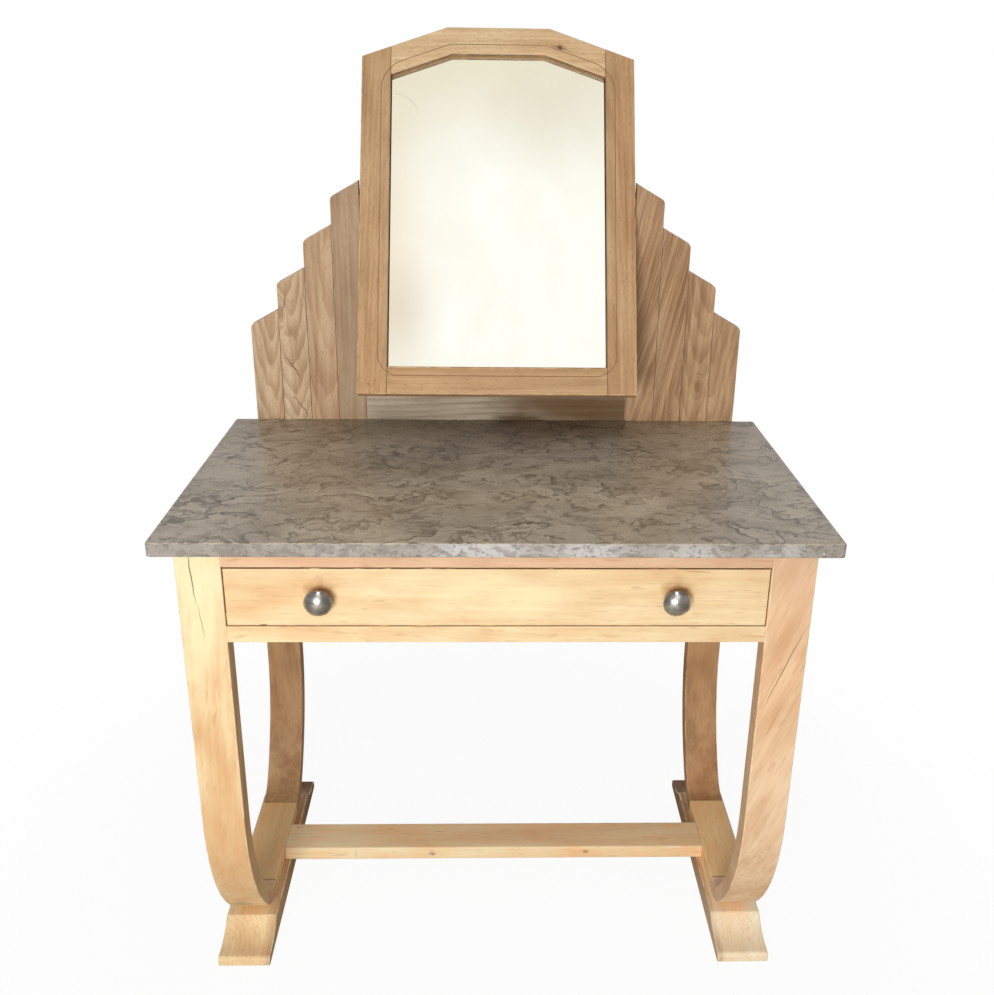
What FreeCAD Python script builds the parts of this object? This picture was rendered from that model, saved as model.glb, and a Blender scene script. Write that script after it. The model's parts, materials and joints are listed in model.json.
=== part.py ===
import FreeCAD, Part
import Sketcher
import os
import re

# A dressing table: two U-shaped ends on runner feet, one drawer, a marble slab, a stepped fan of boards
# behind the slab and a swing mirror between the two wings of the fan.
# Front is -Y, right is +X, up is +Z. The origin is on the floor, under the middle of the whole outline.

# Driving dimensions, in millimetres and degrees.
SIZES = {
    # marble slab
    "table_height": 750,
    "marble_width": 890,
    "marble_depth": 505,
    "marble_thickness": 20,
    "marble_side_overhang": 25,
    "marble_arris": 2,
    # legs, which sweep inwards to the foot of each U
    "leg_width": 60,
    "leg_thickness": 30,
    "leg_setback": 27,
    "foot_curve_depth": 150,
    "foot_curve_height": 260,
    "foot_curve_radius": 80,
    "sole_thickness": 24,
    # runner feet
    "runner_width": 80,
    "runner_height": 36,
    "runner_inset": 30,
    "runner_cove_length": 51.5,
    "runner_nose_thickness": 16,
    "runner_nose_length": 16,
    "runner_nose_round": 6,
    "runner_screw_recess": 12,
    "runner_screw_bite": 15,
    # stretcher
    "stretcher_width": 63,
    "stretcher_setback": 7,
    # rails and aprons
    "apron_height": 138,
    "apron_thickness": 20,
    "side_apron_inset": 6,
    "top_rail_height": 27,
    "bottom_rail_height": 24,
    # joinery
    "tenon_length": 20,
    "tenon_thickness": 8,
    "tenon_shoulder": 5,
    "side_tenon_length": 14,
    "dowel_diameter": 8,
    "dowel_length": 40,
    "dowel_wall": 3,
    "joint_gap": 0.1,
    "overrun": 1,
    # wood screws
    "screw_diameter": 4.5,
    "screw_head_diameter": 9,
    "screw_head_height": 3,
    # drawer
    "drawer_gap": 1,
    "drawer_front_thickness": 20,
    "drawer_side_thickness": 12,
    "drawer_side_inset": 5,
    "drawer_back_gap": 23,
    "drawer_back_thickness": 10,
    "drawer_back_drop": 6,
    "drawer_bottom_thickness": 5,
    "drawer_bottom_raise": 8,
    "drawer_groove_depth": 6,
    "slide_gap": 0.4,
    "drawer_head_gap": 1.5,
    # what carries, guides and stops the drawer
    "drawer_runner_lap": 20,
    "drawer_runner_height": 20,
    "drawer_guide_height": 20,
    "stop_length": 30,
    "stop_thickness": 8,
    "stop_gap": 2,
    "stop_inset": 210,
    # knobs
    "knob_inset": 124.5,
    "knob_diameter": 38,
    "knob_projection": 27,
    "knob_dome_height": 10,
    "knob_neck_diameter": 15,
    "knob_foot_diameter": 21,
    "knob_foot_thickness": 3,
    "knob_screw_bite": 12,
    # fan of boards
    "fan_inset": 11.5,
    "board_width": 46.7,
    "board_thickness": 15,
    "fan_shoulder_height": 163,
    "fan_step_height": 69.3,
    "fan_slope_rise": 26.5,
    # posts and battens behind the fan
    "brace_thickness": 20,
    "post_width": 40,
    "post_drop": 110,
    "post_top_drop": 11,
    "batten_height": 45,
    "batten_raise": 12,
    "batten_inset": 8,
    "brace_screw_bite": 10,
    # swing mirror
    "mirror_tilt": 25.6,
    "pivot_rise": 368,
    "mirror_side_gap": 1.5,
    "mirror_swing_gap": 4,
    "mirror_drop": 317,
    "mirror_shoulder": 234,
    "facet_rise": 50.4,
    "mirror_crown_width": 165.6,
    "stile_width": 47,
    "foot_rail_width": 44.5,
    "head_rail_width": 44,
    "mirror_tenon_length": 24,
    "mirror_lip": 9,
    "rebate_width": 8,
    "glass_thickness": 4,
    "glass_gap": 0.5,
    "backing_thickness": 4,
    "strip_width": 8,
    "strip_thickness": 5,
    # mirror pivots
    "pin_diameter": 6,
    "pin_seat_depth": 20,
    "pin_reach": 22,
    "pin_end_gap": 2,
    "bush_wall": 2,
    "running_gap": 0.05,
    "washer_rim": 5,
    "washer_gap": 0.3,
}
BOARDS_PER_WING = 4
SIDES = (("left", -1), ("right", 1))
SOLE_SCREW_SHARES = (0.2, 0.8)
APRON_SCREW_SHARES = (0.25, 0.75)
BOARD_SCREW_SHARES = (0.28, 0.66)
RAIL_SCREW_SHARES = (-0.6, 0.6)

doc = FreeCAD.newDocument("DressingTable")
sheet = doc.addObject("Spreadsheet::Sheet", "Sizes")
for row, (alias, number) in enumerate(SIZES.items(), start=1):
    sheet.set(f"A{row}", alias)
    sheet.set(f"B{row}", str(number))
    sheet.setAlias(f"B{row}", alias)
doc.recompute()
pieces = {}


def bound(text):
    """The text with each size name turned into a reference to its cell."""
    return re.sub(r"[a-z]\w*", lambda word: f"Sizes.{word[0]}" if word[0] in SIZES else word[0], text)


def value(text):
    """What the text comes to with the sizes as they are."""
    return float(sheet.evalExpression(bound(text)))


def piece(label, item):
    """Names a finished piece of the table."""
    item.Label = label
    pieces[label] = item


def place(item, corner):
    """Binds the place of an item to three texts."""
    for axis, text in zip("xyz", corner):
        item.setExpression(f"Placement.Base.{axis}", bound(text))
    return item


def block(name, size, corner):
    """A squared length of timber."""
    item = doc.addObject("Part::Box", name)
    for edge, text in zip(("Length", "Width", "Height"), size):
        item.setExpression(edge, bound(text))
    return place(item, corner)


def rod(name, diameter, length, start, along):
    """A round bar that starts at a point and runs along a direction."""
    item = doc.addObject("Part::Cylinder", name)
    item.setExpression("Radius", bound(f"({diameter})/2"))
    item.setExpression("Height", bound(length))
    turn = FreeCAD.Rotation(FreeCAD.Vector(0, 0, 1), FreeCAD.Vector(*along))
    item.Placement = FreeCAD.Placement(FreeCAD.Vector(), turn)
    return place(item, start)


def group(name, items):
    """Separate solids held as one item."""
    item = doc.addObject("Part::Compound", name)
    item.Links = items
    return item


def fuse(name, items):
    """Items made into one solid."""
    item = doc.addObject("Part::MultiFuse", name)
    item.Shapes = items
    return item


def cut(name, base, tools):
    """An item with the tools taken out of it."""
    item = doc.addObject("Part::Cut", name)
    item.Base = base
    item.Tool = tools[0] if len(tools) == 1 else group(f"{name}_tools", tools)
    return item


def eased(name, base, radius):
    """A slab with every edge rounded but those of its underside."""
    doc.recompute()
    item = doc.addObject("Part::Fillet", name)
    item.Base = base
    size = value(radius)
    underside = base.Shape.BoundBox.ZMin
    item.Edges = [
        (number, size, size)
        for number, edge in enumerate(base.Shape.Edges, start=1)
        if edge.CenterOfMass.z > underside + size
    ]
    return item


def grown(size, corner):
    """The hollow that takes a block of that size and place."""
    wider = [f"({text}) + 2*joint_gap" for text in size]
    lower = [f"({text}) - joint_gap" for text in corner]
    return wider, lower


def outline(body, plane, corners, start):
    """A closed sketch. A corner is x and y, and where an arc follows, its radius and centre."""
    sketch = body.newObject("Sketcher::SketchObject", f"{body.Name}_outline")
    planes = {feature.Role: feature for feature in body.Origin.OriginFeatures}
    sketch.AttachmentSupport = (planes[plane], [""])
    sketch.MapMode = "FlatFace"
    sketch.setExpression("AttachmentOffset.Base.z", bound(start))
    points = [FreeCAD.Vector(value(corner[0]), value(corner[1]), 0) for corner in corners]
    near_end = []
    for number, corner in enumerate(corners):
        here = points[number]
        there = points[(number + 1) % len(points)]
        edge = Part.LineSegment(here, there)
        if len(corner) > 2:
            radius, centre_x, centre_y = corner[2]
            hub = FreeCAD.Vector(value(centre_x), value(centre_y), 0)
            middle = hub + (here + there - hub * 2).normalize() * value(radius)
            edge = Part.Arc(here, middle, there)
        sketch.addGeometry(edge)
        first = sketch.getPoint(number, 1)
        last = sketch.getPoint(number, 2)
        near_end.append(1 if first.distanceToPoint(here) < last.distanceToPoint(here) else 2)
    for number in range(len(corners)):
        after = (number + 1) % len(corners)
        far_end = 3 - near_end[number]
        sketch.addConstraint(Sketcher.Constraint("Coincident", number, far_end, after, near_end[after]))
    for number, corner in enumerate(corners):
        for kind, text in zip(("DistanceX", "DistanceY"), corner[:2]):
            rule = Sketcher.Constraint(kind, number, near_end[number], value(text))
            index = sketch.addConstraint(rule)
            sketch.setExpression(f"Constraints[{index}]", bound(text))
        if len(corner) > 2:
            index = sketch.addConstraint(Sketcher.Constraint("Radius", number, value(corner[2][0])))
            sketch.setExpression(f"Constraints[{index}]", bound(corner[2][0]))
    return sketch


def panel(name, plane, corners, thickness, start="0"):
    """A body of even thickness, from an outline on one of its planes. It grows towards +X or +Y."""
    body = doc.addObject("PartDesign::Body", name)
    backwards = plane == "XZ_Plane"
    pad = body.newObject("PartDesign::Pad", f"{name}_pad")
    pad.Profile = outline(body, plane, corners, f"-({start})" if backwards else start)
    pad.setExpression("Length", bound(thickness))
    pad.Reversed = backwards
    body.Tip = pad
    return body


def turned(name, corners):
    """A body turned about its own Y axis, from an outline of radius and y."""
    body = doc.addObject("PartDesign::Body", name)
    spin = body.newObject("PartDesign::Revolution", f"{name}_turning")
    spin.Profile = outline(body, "XY_Plane", corners, "0")
    spin.ReferenceAxis = (spin.Profile[0], ["V_Axis"])
    spin.Angle = 360
    body.Tip = spin
    return body


def screw(name, start, along, length):
    """A wood screw from the outer face of its head, of that length under the head."""
    tip = [f"({text}) + ({step})*screw_head_height" for text, step in zip(start, along)]
    head = rod(f"{name}_head", "screw_head_diameter", "screw_head_height", start, along)
    shank = rod(f"{name}_shank", "screw_diameter", length, tip, along)
    return fuse(name, [head, shank])


def screw_hole(name, start, along, length):
    """The stepped hole for such a screw."""
    tip = [f"({text}) + ({step})*screw_head_height" for text, step in zip(start, along)]
    before = [f"({text}) - ({step})*overrun" for text, step in zip(start, along)]
    head_hole = "screw_head_diameter + 2*joint_gap"
    shank_hole = "screw_diameter + 2*joint_gap"
    wide = rod(f"{name}_wide", head_hole, "screw_head_height + overrun", before, along)
    narrow = rod(f"{name}_narrow", shank_hole, f"{length} + joint_gap", tip, along)
    return fuse(name, [wide, narrow])


# Levels and planes that several pieces share. Depths count back from the front edge of the marble.
frame_top = "(table_height - marble_thickness)"
apron_foot = f"({frame_top} - apron_height)"
opening_foot = f"({apron_foot} + bottom_rail_height)"
opening_head = f"({frame_top} - top_rail_height)"
leg_outer = "(marble_width/2 - marble_side_overhang)"
leg_inner = f"({leg_outer} - leg_width)"
leg_middle = f"({leg_outer} - leg_width/2)"
front_leg_back = "(leg_setback + leg_thickness)"
back_face = "(marble_depth + board_thickness)"
back_leg_front = f"({back_face} - leg_thickness)"
back_apron_front = f"({back_face} - apron_thickness)"
ends_middle = f"((leg_setback + {back_face})/2)"
side_apron_inner = f"({leg_outer} - side_apron_inset - apron_thickness)"
fan_inner = f"({leg_outer} - fan_inset - {BOARDS_PER_WING}*board_width)"
mirror_half = f"({fan_inner} - mirror_side_gap)"
mirror_crown = "(mirror_shoulder + facet_rise)"
mirror_thickness = "(mirror_lip + glass_thickness + backing_thickness + strip_thickness)"
pivot_depth = "(marble_depth + board_thickness/2)"
pivot_height = "(table_height + pivot_rise)"
crown_reach = f"({mirror_crown}*sin(mirror_tilt) + {mirror_thickness}/2*cos(mirror_tilt))"
rear_reach = f"({pivot_depth} + {crown_reach})"
along_x = (1, 0, 0)
along_y = (0, 1, 0)
forwards = (0, -1, 0)
upwards = (0, 0, 1)


def depth(text):
    """A depth behind the marble's front edge, as a place along Y."""
    return f"({text}) - {rear_reach}/2"


def along_side(side, text, width):
    """Where a piece of that width starts along X, if its inner face is that far from the middle."""
    return text if side > 0 else f"-({text}) - ({width})"


# Marble slab, loose on the frame.
slab_size = ("marble_width", "marble_depth", "marble_thickness")
slab = block("slab", slab_size, ("-marble_width/2", depth("0"), frame_top))
piece("marble_top", eased("marble_slab", slab, "marble_arris"))

# Rails and aprons, tenoned into the legs.
mortises = {(end, name): [] for end in ("front", "back") for name, side in SIDES}


def cross_rail(label, end, near_depth, thickness, foot, height):
    """A rail from leg to leg across the table, with a tenon at each end."""
    rail_size = (f"2*{leg_inner}", thickness, height)
    solids = [block(f"{label}_rail", rail_size, (f"-{leg_inner}", depth(near_depth), foot))]
    tenon_depth = f"({near_depth}) + ({thickness})/2 - tenon_thickness/2"
    size = ("tenon_length", "tenon_thickness", f"{height} - 2*tenon_shoulder")
    for name, side in SIDES:
        tenon_x = along_side(side, leg_inner, "tenon_length")
        corner = (tenon_x, depth(tenon_depth), f"{foot} + tenon_shoulder")
        solids.append(block(f"{label}_tenon_{name}", size, corner))
        mortises[end, name].append(block(f"{label}_mortise_{name}", *grown(size, corner)))
    return fuse(f"{label}_joined", solids)


for label, foot, height in (
    ("front_top_rail", opening_head, "top_rail_height"),
    ("front_bottom_rail", apron_foot, "bottom_rail_height"),
):
    piece(label, cross_rail(label, "front", "leg_setback", "leg_thickness", foot, height))
back_apron = cross_rail("apron", "back", back_apron_front, "apron_thickness", apron_foot, "apron_height")

frame_run = f"{back_leg_front} - {front_leg_back}"
for name, side in SIDES:
    label = f"side_apron_{name}"
    apron_x = along_side(side, side_apron_inner, "apron_thickness")
    apron_size = ("apron_thickness", frame_run, "apron_height")
    solids = [block(f"{label}_rail", apron_size, (apron_x, depth(front_leg_back), apron_foot))]
    size = ("tenon_thickness", "side_tenon_length", "apron_height - 2*tenon_shoulder")
    tenon_x = f"{apron_x} + apron_thickness/2 - tenon_thickness/2"
    for end, tenon_depth in (("front", f"{front_leg_back} - side_tenon_length"), ("back", back_leg_front)):
        corner = (tenon_x, depth(tenon_depth), f"{apron_foot} + tenon_shoulder")
        solids.append(block(f"{label}_tenon_{end}", size, corner))
        mortises[end, name].append(block(f"{label}_mortise_{end}", *grown(size, corner)))
    piece(label, fuse(f"{label}_joined", solids))

# Legs: straight above, then an easy curve that tightens into the foot. Both faces follow two tangent arcs.
inner_depth = "(foot_curve_depth - leg_thickness)"
inner_height = "(foot_curve_height - sole_thickness)"
inner_radius = "(foot_curve_radius - sole_thickness)"


def easy_radius(run, rise, tight):
    """The radius of the easy arc of a curve that ends in a tight one."""
    return f"(({run}^2 + {rise}^2 - 2*{rise}*{tight})/(2*({run} - {tight})))"


def leg(name, inward):
    """A leg in the plane of its U, its outer face at 0. Inward is the sign of the way to the middle."""
    outer_easy = easy_radius("foot_curve_depth", "foot_curve_height", "foot_curve_radius")
    inner_easy = easy_radius(inner_depth, inner_height, inner_radius)
    outer_ratio = f"(foot_curve_radius/({outer_easy} - foot_curve_radius))"
    inner_ratio = f"({inner_radius}/({inner_easy} - {inner_radius}))"
    drop = "(foot_curve_radius - foot_curve_height)"
    outer_hub = (f"{inward}*{outer_easy}", "foot_curve_height")
    inner_hub = (f"{inward}*(leg_thickness + {inner_easy})", "foot_curve_height")
    tight_hub = (f"{inward}*foot_curve_depth", "foot_curve_radius")
    outer_turn = f"{inward}*(foot_curve_depth + {outer_ratio}*(foot_curve_depth - {outer_easy}))"
    inner_turn = f"{inward}*(foot_curve_depth + {inner_ratio}*({inner_depth} - {inner_easy}))"
    outer_level = f"foot_curve_radius + {outer_ratio}*{drop}"
    inner_level = f"foot_curve_radius + {inner_ratio}*{drop}"
    corners = [
        (f"{inward}*leg_thickness", f"{frame_top} - runner_height"),
        ("0", f"{frame_top} - runner_height"),
        ("0", "foot_curve_height", (outer_easy, *outer_hub)),
        (outer_turn, outer_level, ("foot_curve_radius", *tight_hub)),
        (f"{inward}*foot_curve_depth", "0"),
        (f"{inward}*foot_curve_depth", "sole_thickness", (inner_radius, *tight_hub)),
        (inner_turn, inner_level, (inner_easy, *inner_hub)),
        (f"{inward}*leg_thickness", "foot_curve_height"),
    ]
    return panel(name, "YZ_Plane", corners, "leg_width")


# Sole bars, the straight feet of the U's, dowelled to the legs. They take the tenons of the stretcher,
# which lies on the inner ledges of the runner feet. The dowels lie between the tenon and the outer face.
front_joint = "(leg_setback + foot_curve_depth)"
back_joint = f"({back_face} - foot_curve_depth)"
sole_run = f"({back_joint} - {front_joint})"
dowel_inner = f"({leg_inner} + tenon_length + dowel_wall + dowel_diameter/2)"
dowel_outer = f"({leg_outer} - dowel_wall - dowel_diameter/2)"
stretcher_near = f"{ends_middle} + stretcher_setback - stretcher_width/2"
stretcher_size = (f"2*{leg_inner}", "stretcher_width", "sole_thickness")
stretcher_corner = (f"-{leg_inner}", depth(stretcher_near), "runner_height")
stretcher_solids = [block("stretcher_bar", stretcher_size, stretcher_corner)]

# Runner feet: long blocks with a coved tip at each end, screwed to the sole bars from below.
half = f"(({back_face} - leg_setback)/2 - runner_inset)"
cove_end = f"({half} - runner_nose_length)"
crest = f"({cove_end} - runner_cove_length)"
cove_rise = "(runner_height - runner_nose_thickness)"
cove_radius = f"((runner_cove_length^2 + {cove_rise}^2)/(2*{cove_rise}))"
cove_hub = f"runner_nose_thickness + {cove_radius}"
nose_inner = f"({half} - runner_nose_round)"
nose_level = "(runner_nose_thickness - runner_nose_round)"
runner_corners = [
    (f"-{half}", "0"),
    (f"-{half}", nose_level, ("runner_nose_round", f"-{nose_inner}", nose_level)),
    (f"-{nose_inner}", "runner_nose_thickness"),
    (f"-{cove_end}", "runner_nose_thickness", (cove_radius, f"-{cove_end}", cove_hub)),
    (f"-{crest}", "runner_height"),
    (crest, "runner_height", (cove_radius, cove_end, cove_hub)),
    (cove_end, "runner_nose_thickness"),
    (nose_inner, "runner_nose_thickness", ("runner_nose_round", nose_inner, nose_level)),
    (half, nose_level),
    (half, "0"),
]
runner_screw_length = "runner_height - runner_screw_recess - screw_head_height + runner_screw_bite"

dowels = []
runner_screws = []
for name, side in SIDES:
    leg_x = along_side(side, leg_inner, "leg_width")
    middle_x = f"({side})*{leg_middle}"
    screw_x = f"({side})*({dowel_inner} + {dowel_outer})/2"
    holes = {"front": [], "back": []}
    for end, joint in (("front", front_joint), ("back", back_joint)):
        for number, from_middle in (("1", dowel_inner), ("2", dowel_outer)):
            tag = f"{end}_{name}_{number}"
            start = (
                f"({side})*{from_middle}",
                depth(f"{joint} - dowel_length/2"),
                "runner_height + sole_thickness/2",
            )
            dowels.append(rod(f"dowel_{tag}", "dowel_diameter", "dowel_length", start, along_y))
            wide = "dowel_diameter + 2*joint_gap"
            holes[end].append(rod(f"dowel_hole_{tag}", wide, "dowel_length", start, along_y))
    for end, face, inward in (("front", "leg_setback", 1), ("back", back_face, -1)):
        blank = place(leg(f"{end}_leg_{name}_blank", inward), (leg_x, depth(face), "runner_height"))
        piece(f"{end}_leg_{name}", cut(f"{end}_leg_{name}_cut", blank, mortises[end, name] + holes[end]))

    sole_size = ("leg_width", sole_run, "sole_thickness")
    sole = block(f"sole_{name}_blank", sole_size, (leg_x, depth(front_joint), "runner_height"))
    tenon_size = ("tenon_length", "stretcher_width - 4*tenon_shoulder", "tenon_thickness")
    tenon_corner = (
        along_side(side, leg_inner, "tenon_length"),
        depth(f"{stretcher_near} + 2*tenon_shoulder"),
        "runner_height + sole_thickness/2 - tenon_thickness/2",
    )
    stretcher_solids.append(block(f"stretcher_tenon_{name}", tenon_size, tenon_corner))
    sole_cuts = holes["front"] + holes["back"]
    sole_cuts.append(block(f"stretcher_mortise_{name}", *grown(tenon_size, tenon_corner)))

    runner = panel(f"runner_{name}_blank", "YZ_Plane", runner_corners, "runner_width")
    place(runner, (f"{middle_x} - runner_width/2", depth(ends_middle), "0"))
    runner_cuts = []
    for number, share in enumerate(SOLE_SCREW_SHARES, start=1):
        tag = f"{name}_{number}"
        screw_y = depth(f"{front_joint} + {share}*{sole_run}")
        start = (screw_x, screw_y, "runner_screw_recess")
        runner_screws.append(screw(f"runner_screw_{tag}", start, upwards, runner_screw_length))
        sole_cuts.append(screw_hole(f"sole_screw_hole_{tag}", start, upwards, runner_screw_length))
        recess_width = "screw_head_diameter + 2*joint_gap"
        recess_depth = "runner_screw_recess + overrun"
        mouth = (screw_x, screw_y, "-overrun")
        runner_cuts.append(rod(f"runner_recess_{tag}", recess_width, recess_depth, mouth, upwards))
        runner_cuts.append(screw_hole(f"runner_screw_hole_{tag}", start, upwards, runner_screw_length))
    bores = fuse(f"runner_{name}_bores", runner_cuts)
    piece(f"runner_foot_{name}", cut(f"runner_{name}_cut", runner, [bores]))
    piece(f"sole_bar_{name}", cut(f"sole_{name}_cut", sole, sole_cuts))
piece("stretcher", fuse("stretcher_joined", stretcher_solids))
piece("sole_dowels", group("sole_dowel_group", dowels))
piece("runner_screws", group("runner_screw_group", runner_screws))

# Runners, guides and kickers of the drawer, fixed to the side aprons between the legs.
lap_inner = f"({leg_inner} - drawer_runner_lap)"
guide_inner = f"({leg_inner} - drawer_side_inset + slide_gap)"
for name, side in SIDES:
    for kind, inner, foot, height in (
        ("drawer_runner", lap_inner, f"{opening_foot} - drawer_runner_height", "drawer_runner_height"),
        ("drawer_guide", guide_inner, opening_foot, "drawer_guide_height"),
        ("drawer_kicker", lap_inner, opening_head, "top_rail_height"),
    ):
        width = f"{side_apron_inner} - {inner}"
        corner = (along_side(side, inner, width), depth(front_leg_back), foot)
        piece(f"{kind}_{name}", block(f"{kind}_{name}_bar", (width, frame_run, height), corner))

# Stops on the rail below the drawer, which catch the back of the drawer front and clear the drawer bottom.
box_front = "(leg_setback + drawer_front_thickness)"
stop_size = ("stop_length", "stop_thickness", "drawer_bottom_raise - stop_gap")
stops = []
for name, side in SIDES:
    stop_x = f"({side})*({leg_inner} - stop_inset) - stop_length/2"
    corner = (stop_x, depth(f"{box_front} + slide_gap"), opening_foot)
    stops.append(block(f"drawer_stop_{name}", stop_size, corner))
piece("drawer_stops", group("drawer_stop_group", stops))

# Drawer box. Its bottom slides into grooves in the sides and the front, and runs under the back.
drawer_foot = f"({opening_foot} + slide_gap)"
drawer_side_height = f"({opening_head} - drawer_head_gap - {drawer_foot})"
box_end = f"({back_apron_front} - drawer_back_gap)"
side_inner = f"({leg_inner} - drawer_side_inset - drawer_side_thickness)"
bottom_level = f"({drawer_foot} + drawer_bottom_raise)"
bottom_half = f"({side_inner} + drawer_groove_depth)"
bottom_front = f"({box_front} - drawer_groove_depth)"
bottom_size = (f"2*{bottom_half}", f"{box_end} - {bottom_front}", "drawer_bottom_thickness")
bottom_corner = (f"-{bottom_half}", depth(bottom_front), bottom_level)
piece("drawer_bottom", block("drawer_bottom_board", bottom_size, bottom_corner))

for name, side in SIDES:
    size = ("drawer_side_thickness", f"{box_end} - {box_front}", drawer_side_height)
    corner = (along_side(side, side_inner, "drawer_side_thickness"), depth(box_front), drawer_foot)
    board = block(f"drawer_side_{name}_blank", size, corner)
    groove = block(f"drawer_groove_{name}", *grown(bottom_size, bottom_corner))
    piece(f"drawer_side_{name}", cut(f"drawer_side_{name}_cut", board, [groove]))
back_foot = f"({bottom_level} + drawer_bottom_thickness)"
back_height = f"{drawer_foot} + {drawer_side_height} - drawer_back_drop - {back_foot}"
back_size = (f"2*{side_inner}", "drawer_back_thickness", back_height)
back_corner = (f"-{side_inner}", depth(f"{box_end} - drawer_back_thickness"), back_foot)
piece("drawer_back", block("drawer_back_board", back_size, back_corner))

# Drawer front, flush with the legs, with a screw through it into each knob.
front_half = f"({leg_inner} - drawer_gap)"
front_foot = f"({opening_foot} + drawer_gap)"
front_size = (f"2*{front_half}", "drawer_front_thickness", f"{opening_head} - drawer_gap - {front_foot}")
front_board = block("drawer_front_blank", front_size, (f"-{front_half}", depth("leg_setback"), front_foot))
front_cuts = [block("drawer_groove_front", *grown(bottom_size, bottom_corner))]
knob_level = f"(({opening_foot} + {opening_head})/2)"
dome_foot = "(knob_projection - knob_dome_height)"
dome_radius = "(((knob_diameter/2)^2 + knob_dome_height^2)/(2*knob_dome_height))"
knob_corners = [
    ("0", "0"),
    ("knob_foot_diameter/2", "0"),
    ("knob_foot_diameter/2", "-knob_foot_thickness"),
    ("knob_neck_diameter/2", "-2*knob_foot_thickness"),
    ("knob_diameter/2", f"-{dome_foot}", (dome_radius, "0", f"{dome_radius} - knob_projection")),
    ("0", "-knob_projection"),
]
knob_screws = []
knob_screw_length = "drawer_front_thickness + knob_screw_bite"
screw_bore = "screw_diameter + 2*joint_gap"
for name, side in SIDES:
    knob_x = f"({side})*({front_half} - knob_inset)"
    knob = place(turned(f"knob_{name}_turned", knob_corners), (knob_x, depth("leg_setback"), knob_level))
    screw_start = (knob_x, depth(f"{box_front} + screw_head_height"), knob_level)
    knob_screws.append(screw(f"knob_screw_{name}", screw_start, forwards, knob_screw_length))
    bore_start = (knob_x, depth(f"{box_front} + overrun"), knob_level)
    bore_length = "drawer_front_thickness + 2*overrun"
    front_cuts.append(rod(f"knob_bore_{name}", screw_bore, bore_length, bore_start, forwards))
    seat_start = (knob_x, depth("leg_setback + overrun"), knob_level)
    seat_length = "knob_screw_bite + overrun + joint_gap"
    seat = rod(f"knob_seat_{name}", screw_bore, seat_length, seat_start, forwards)
    piece(f"drawer_knob_{name}", cut(f"knob_{name}_bored", knob, [seat]))
piece("drawer_front", cut("drawer_front_cut", front_board, front_cuts))
piece("knob_screws", group("knob_screw_group", knob_screws))

# Fan of boards. It stands on the back apron and the back legs, against the back edge of the marble, and is
# screwed from behind to posts and battens.
brace_back = f"({back_face} + brace_thickness)"
brace_screw_length = "brace_thickness + brace_screw_bite - screw_head_height"
batten_foot = f"({frame_top} + batten_raise)"
batten_level = f"({batten_foot} + batten_height/2)"
post_inner = f"({fan_inner} + board_width/2 - post_width/2)"
fan_foot = "marble_thickness + fan_shoulder_height"
post_rise = f"({fan_foot} + {BOARDS_PER_WING - 1}*fan_step_height - post_top_drop)"
brace_screws = []


def brace_screw(tag, x, level):
    """A screw through a brace from behind. Returns the hole in the brace and the one in what it holds."""
    start = (x, depth(brace_back), level)
    brace_screws.append(screw(f"brace_screw_{tag}", start, forwards, brace_screw_length))
    brace_hole = screw_hole(f"brace_hole_{tag}", start, forwards, brace_screw_length)
    board_hole = screw_hole(f"board_hole_{tag}", start, forwards, brace_screw_length)
    return brace_hole, board_hole


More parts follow.
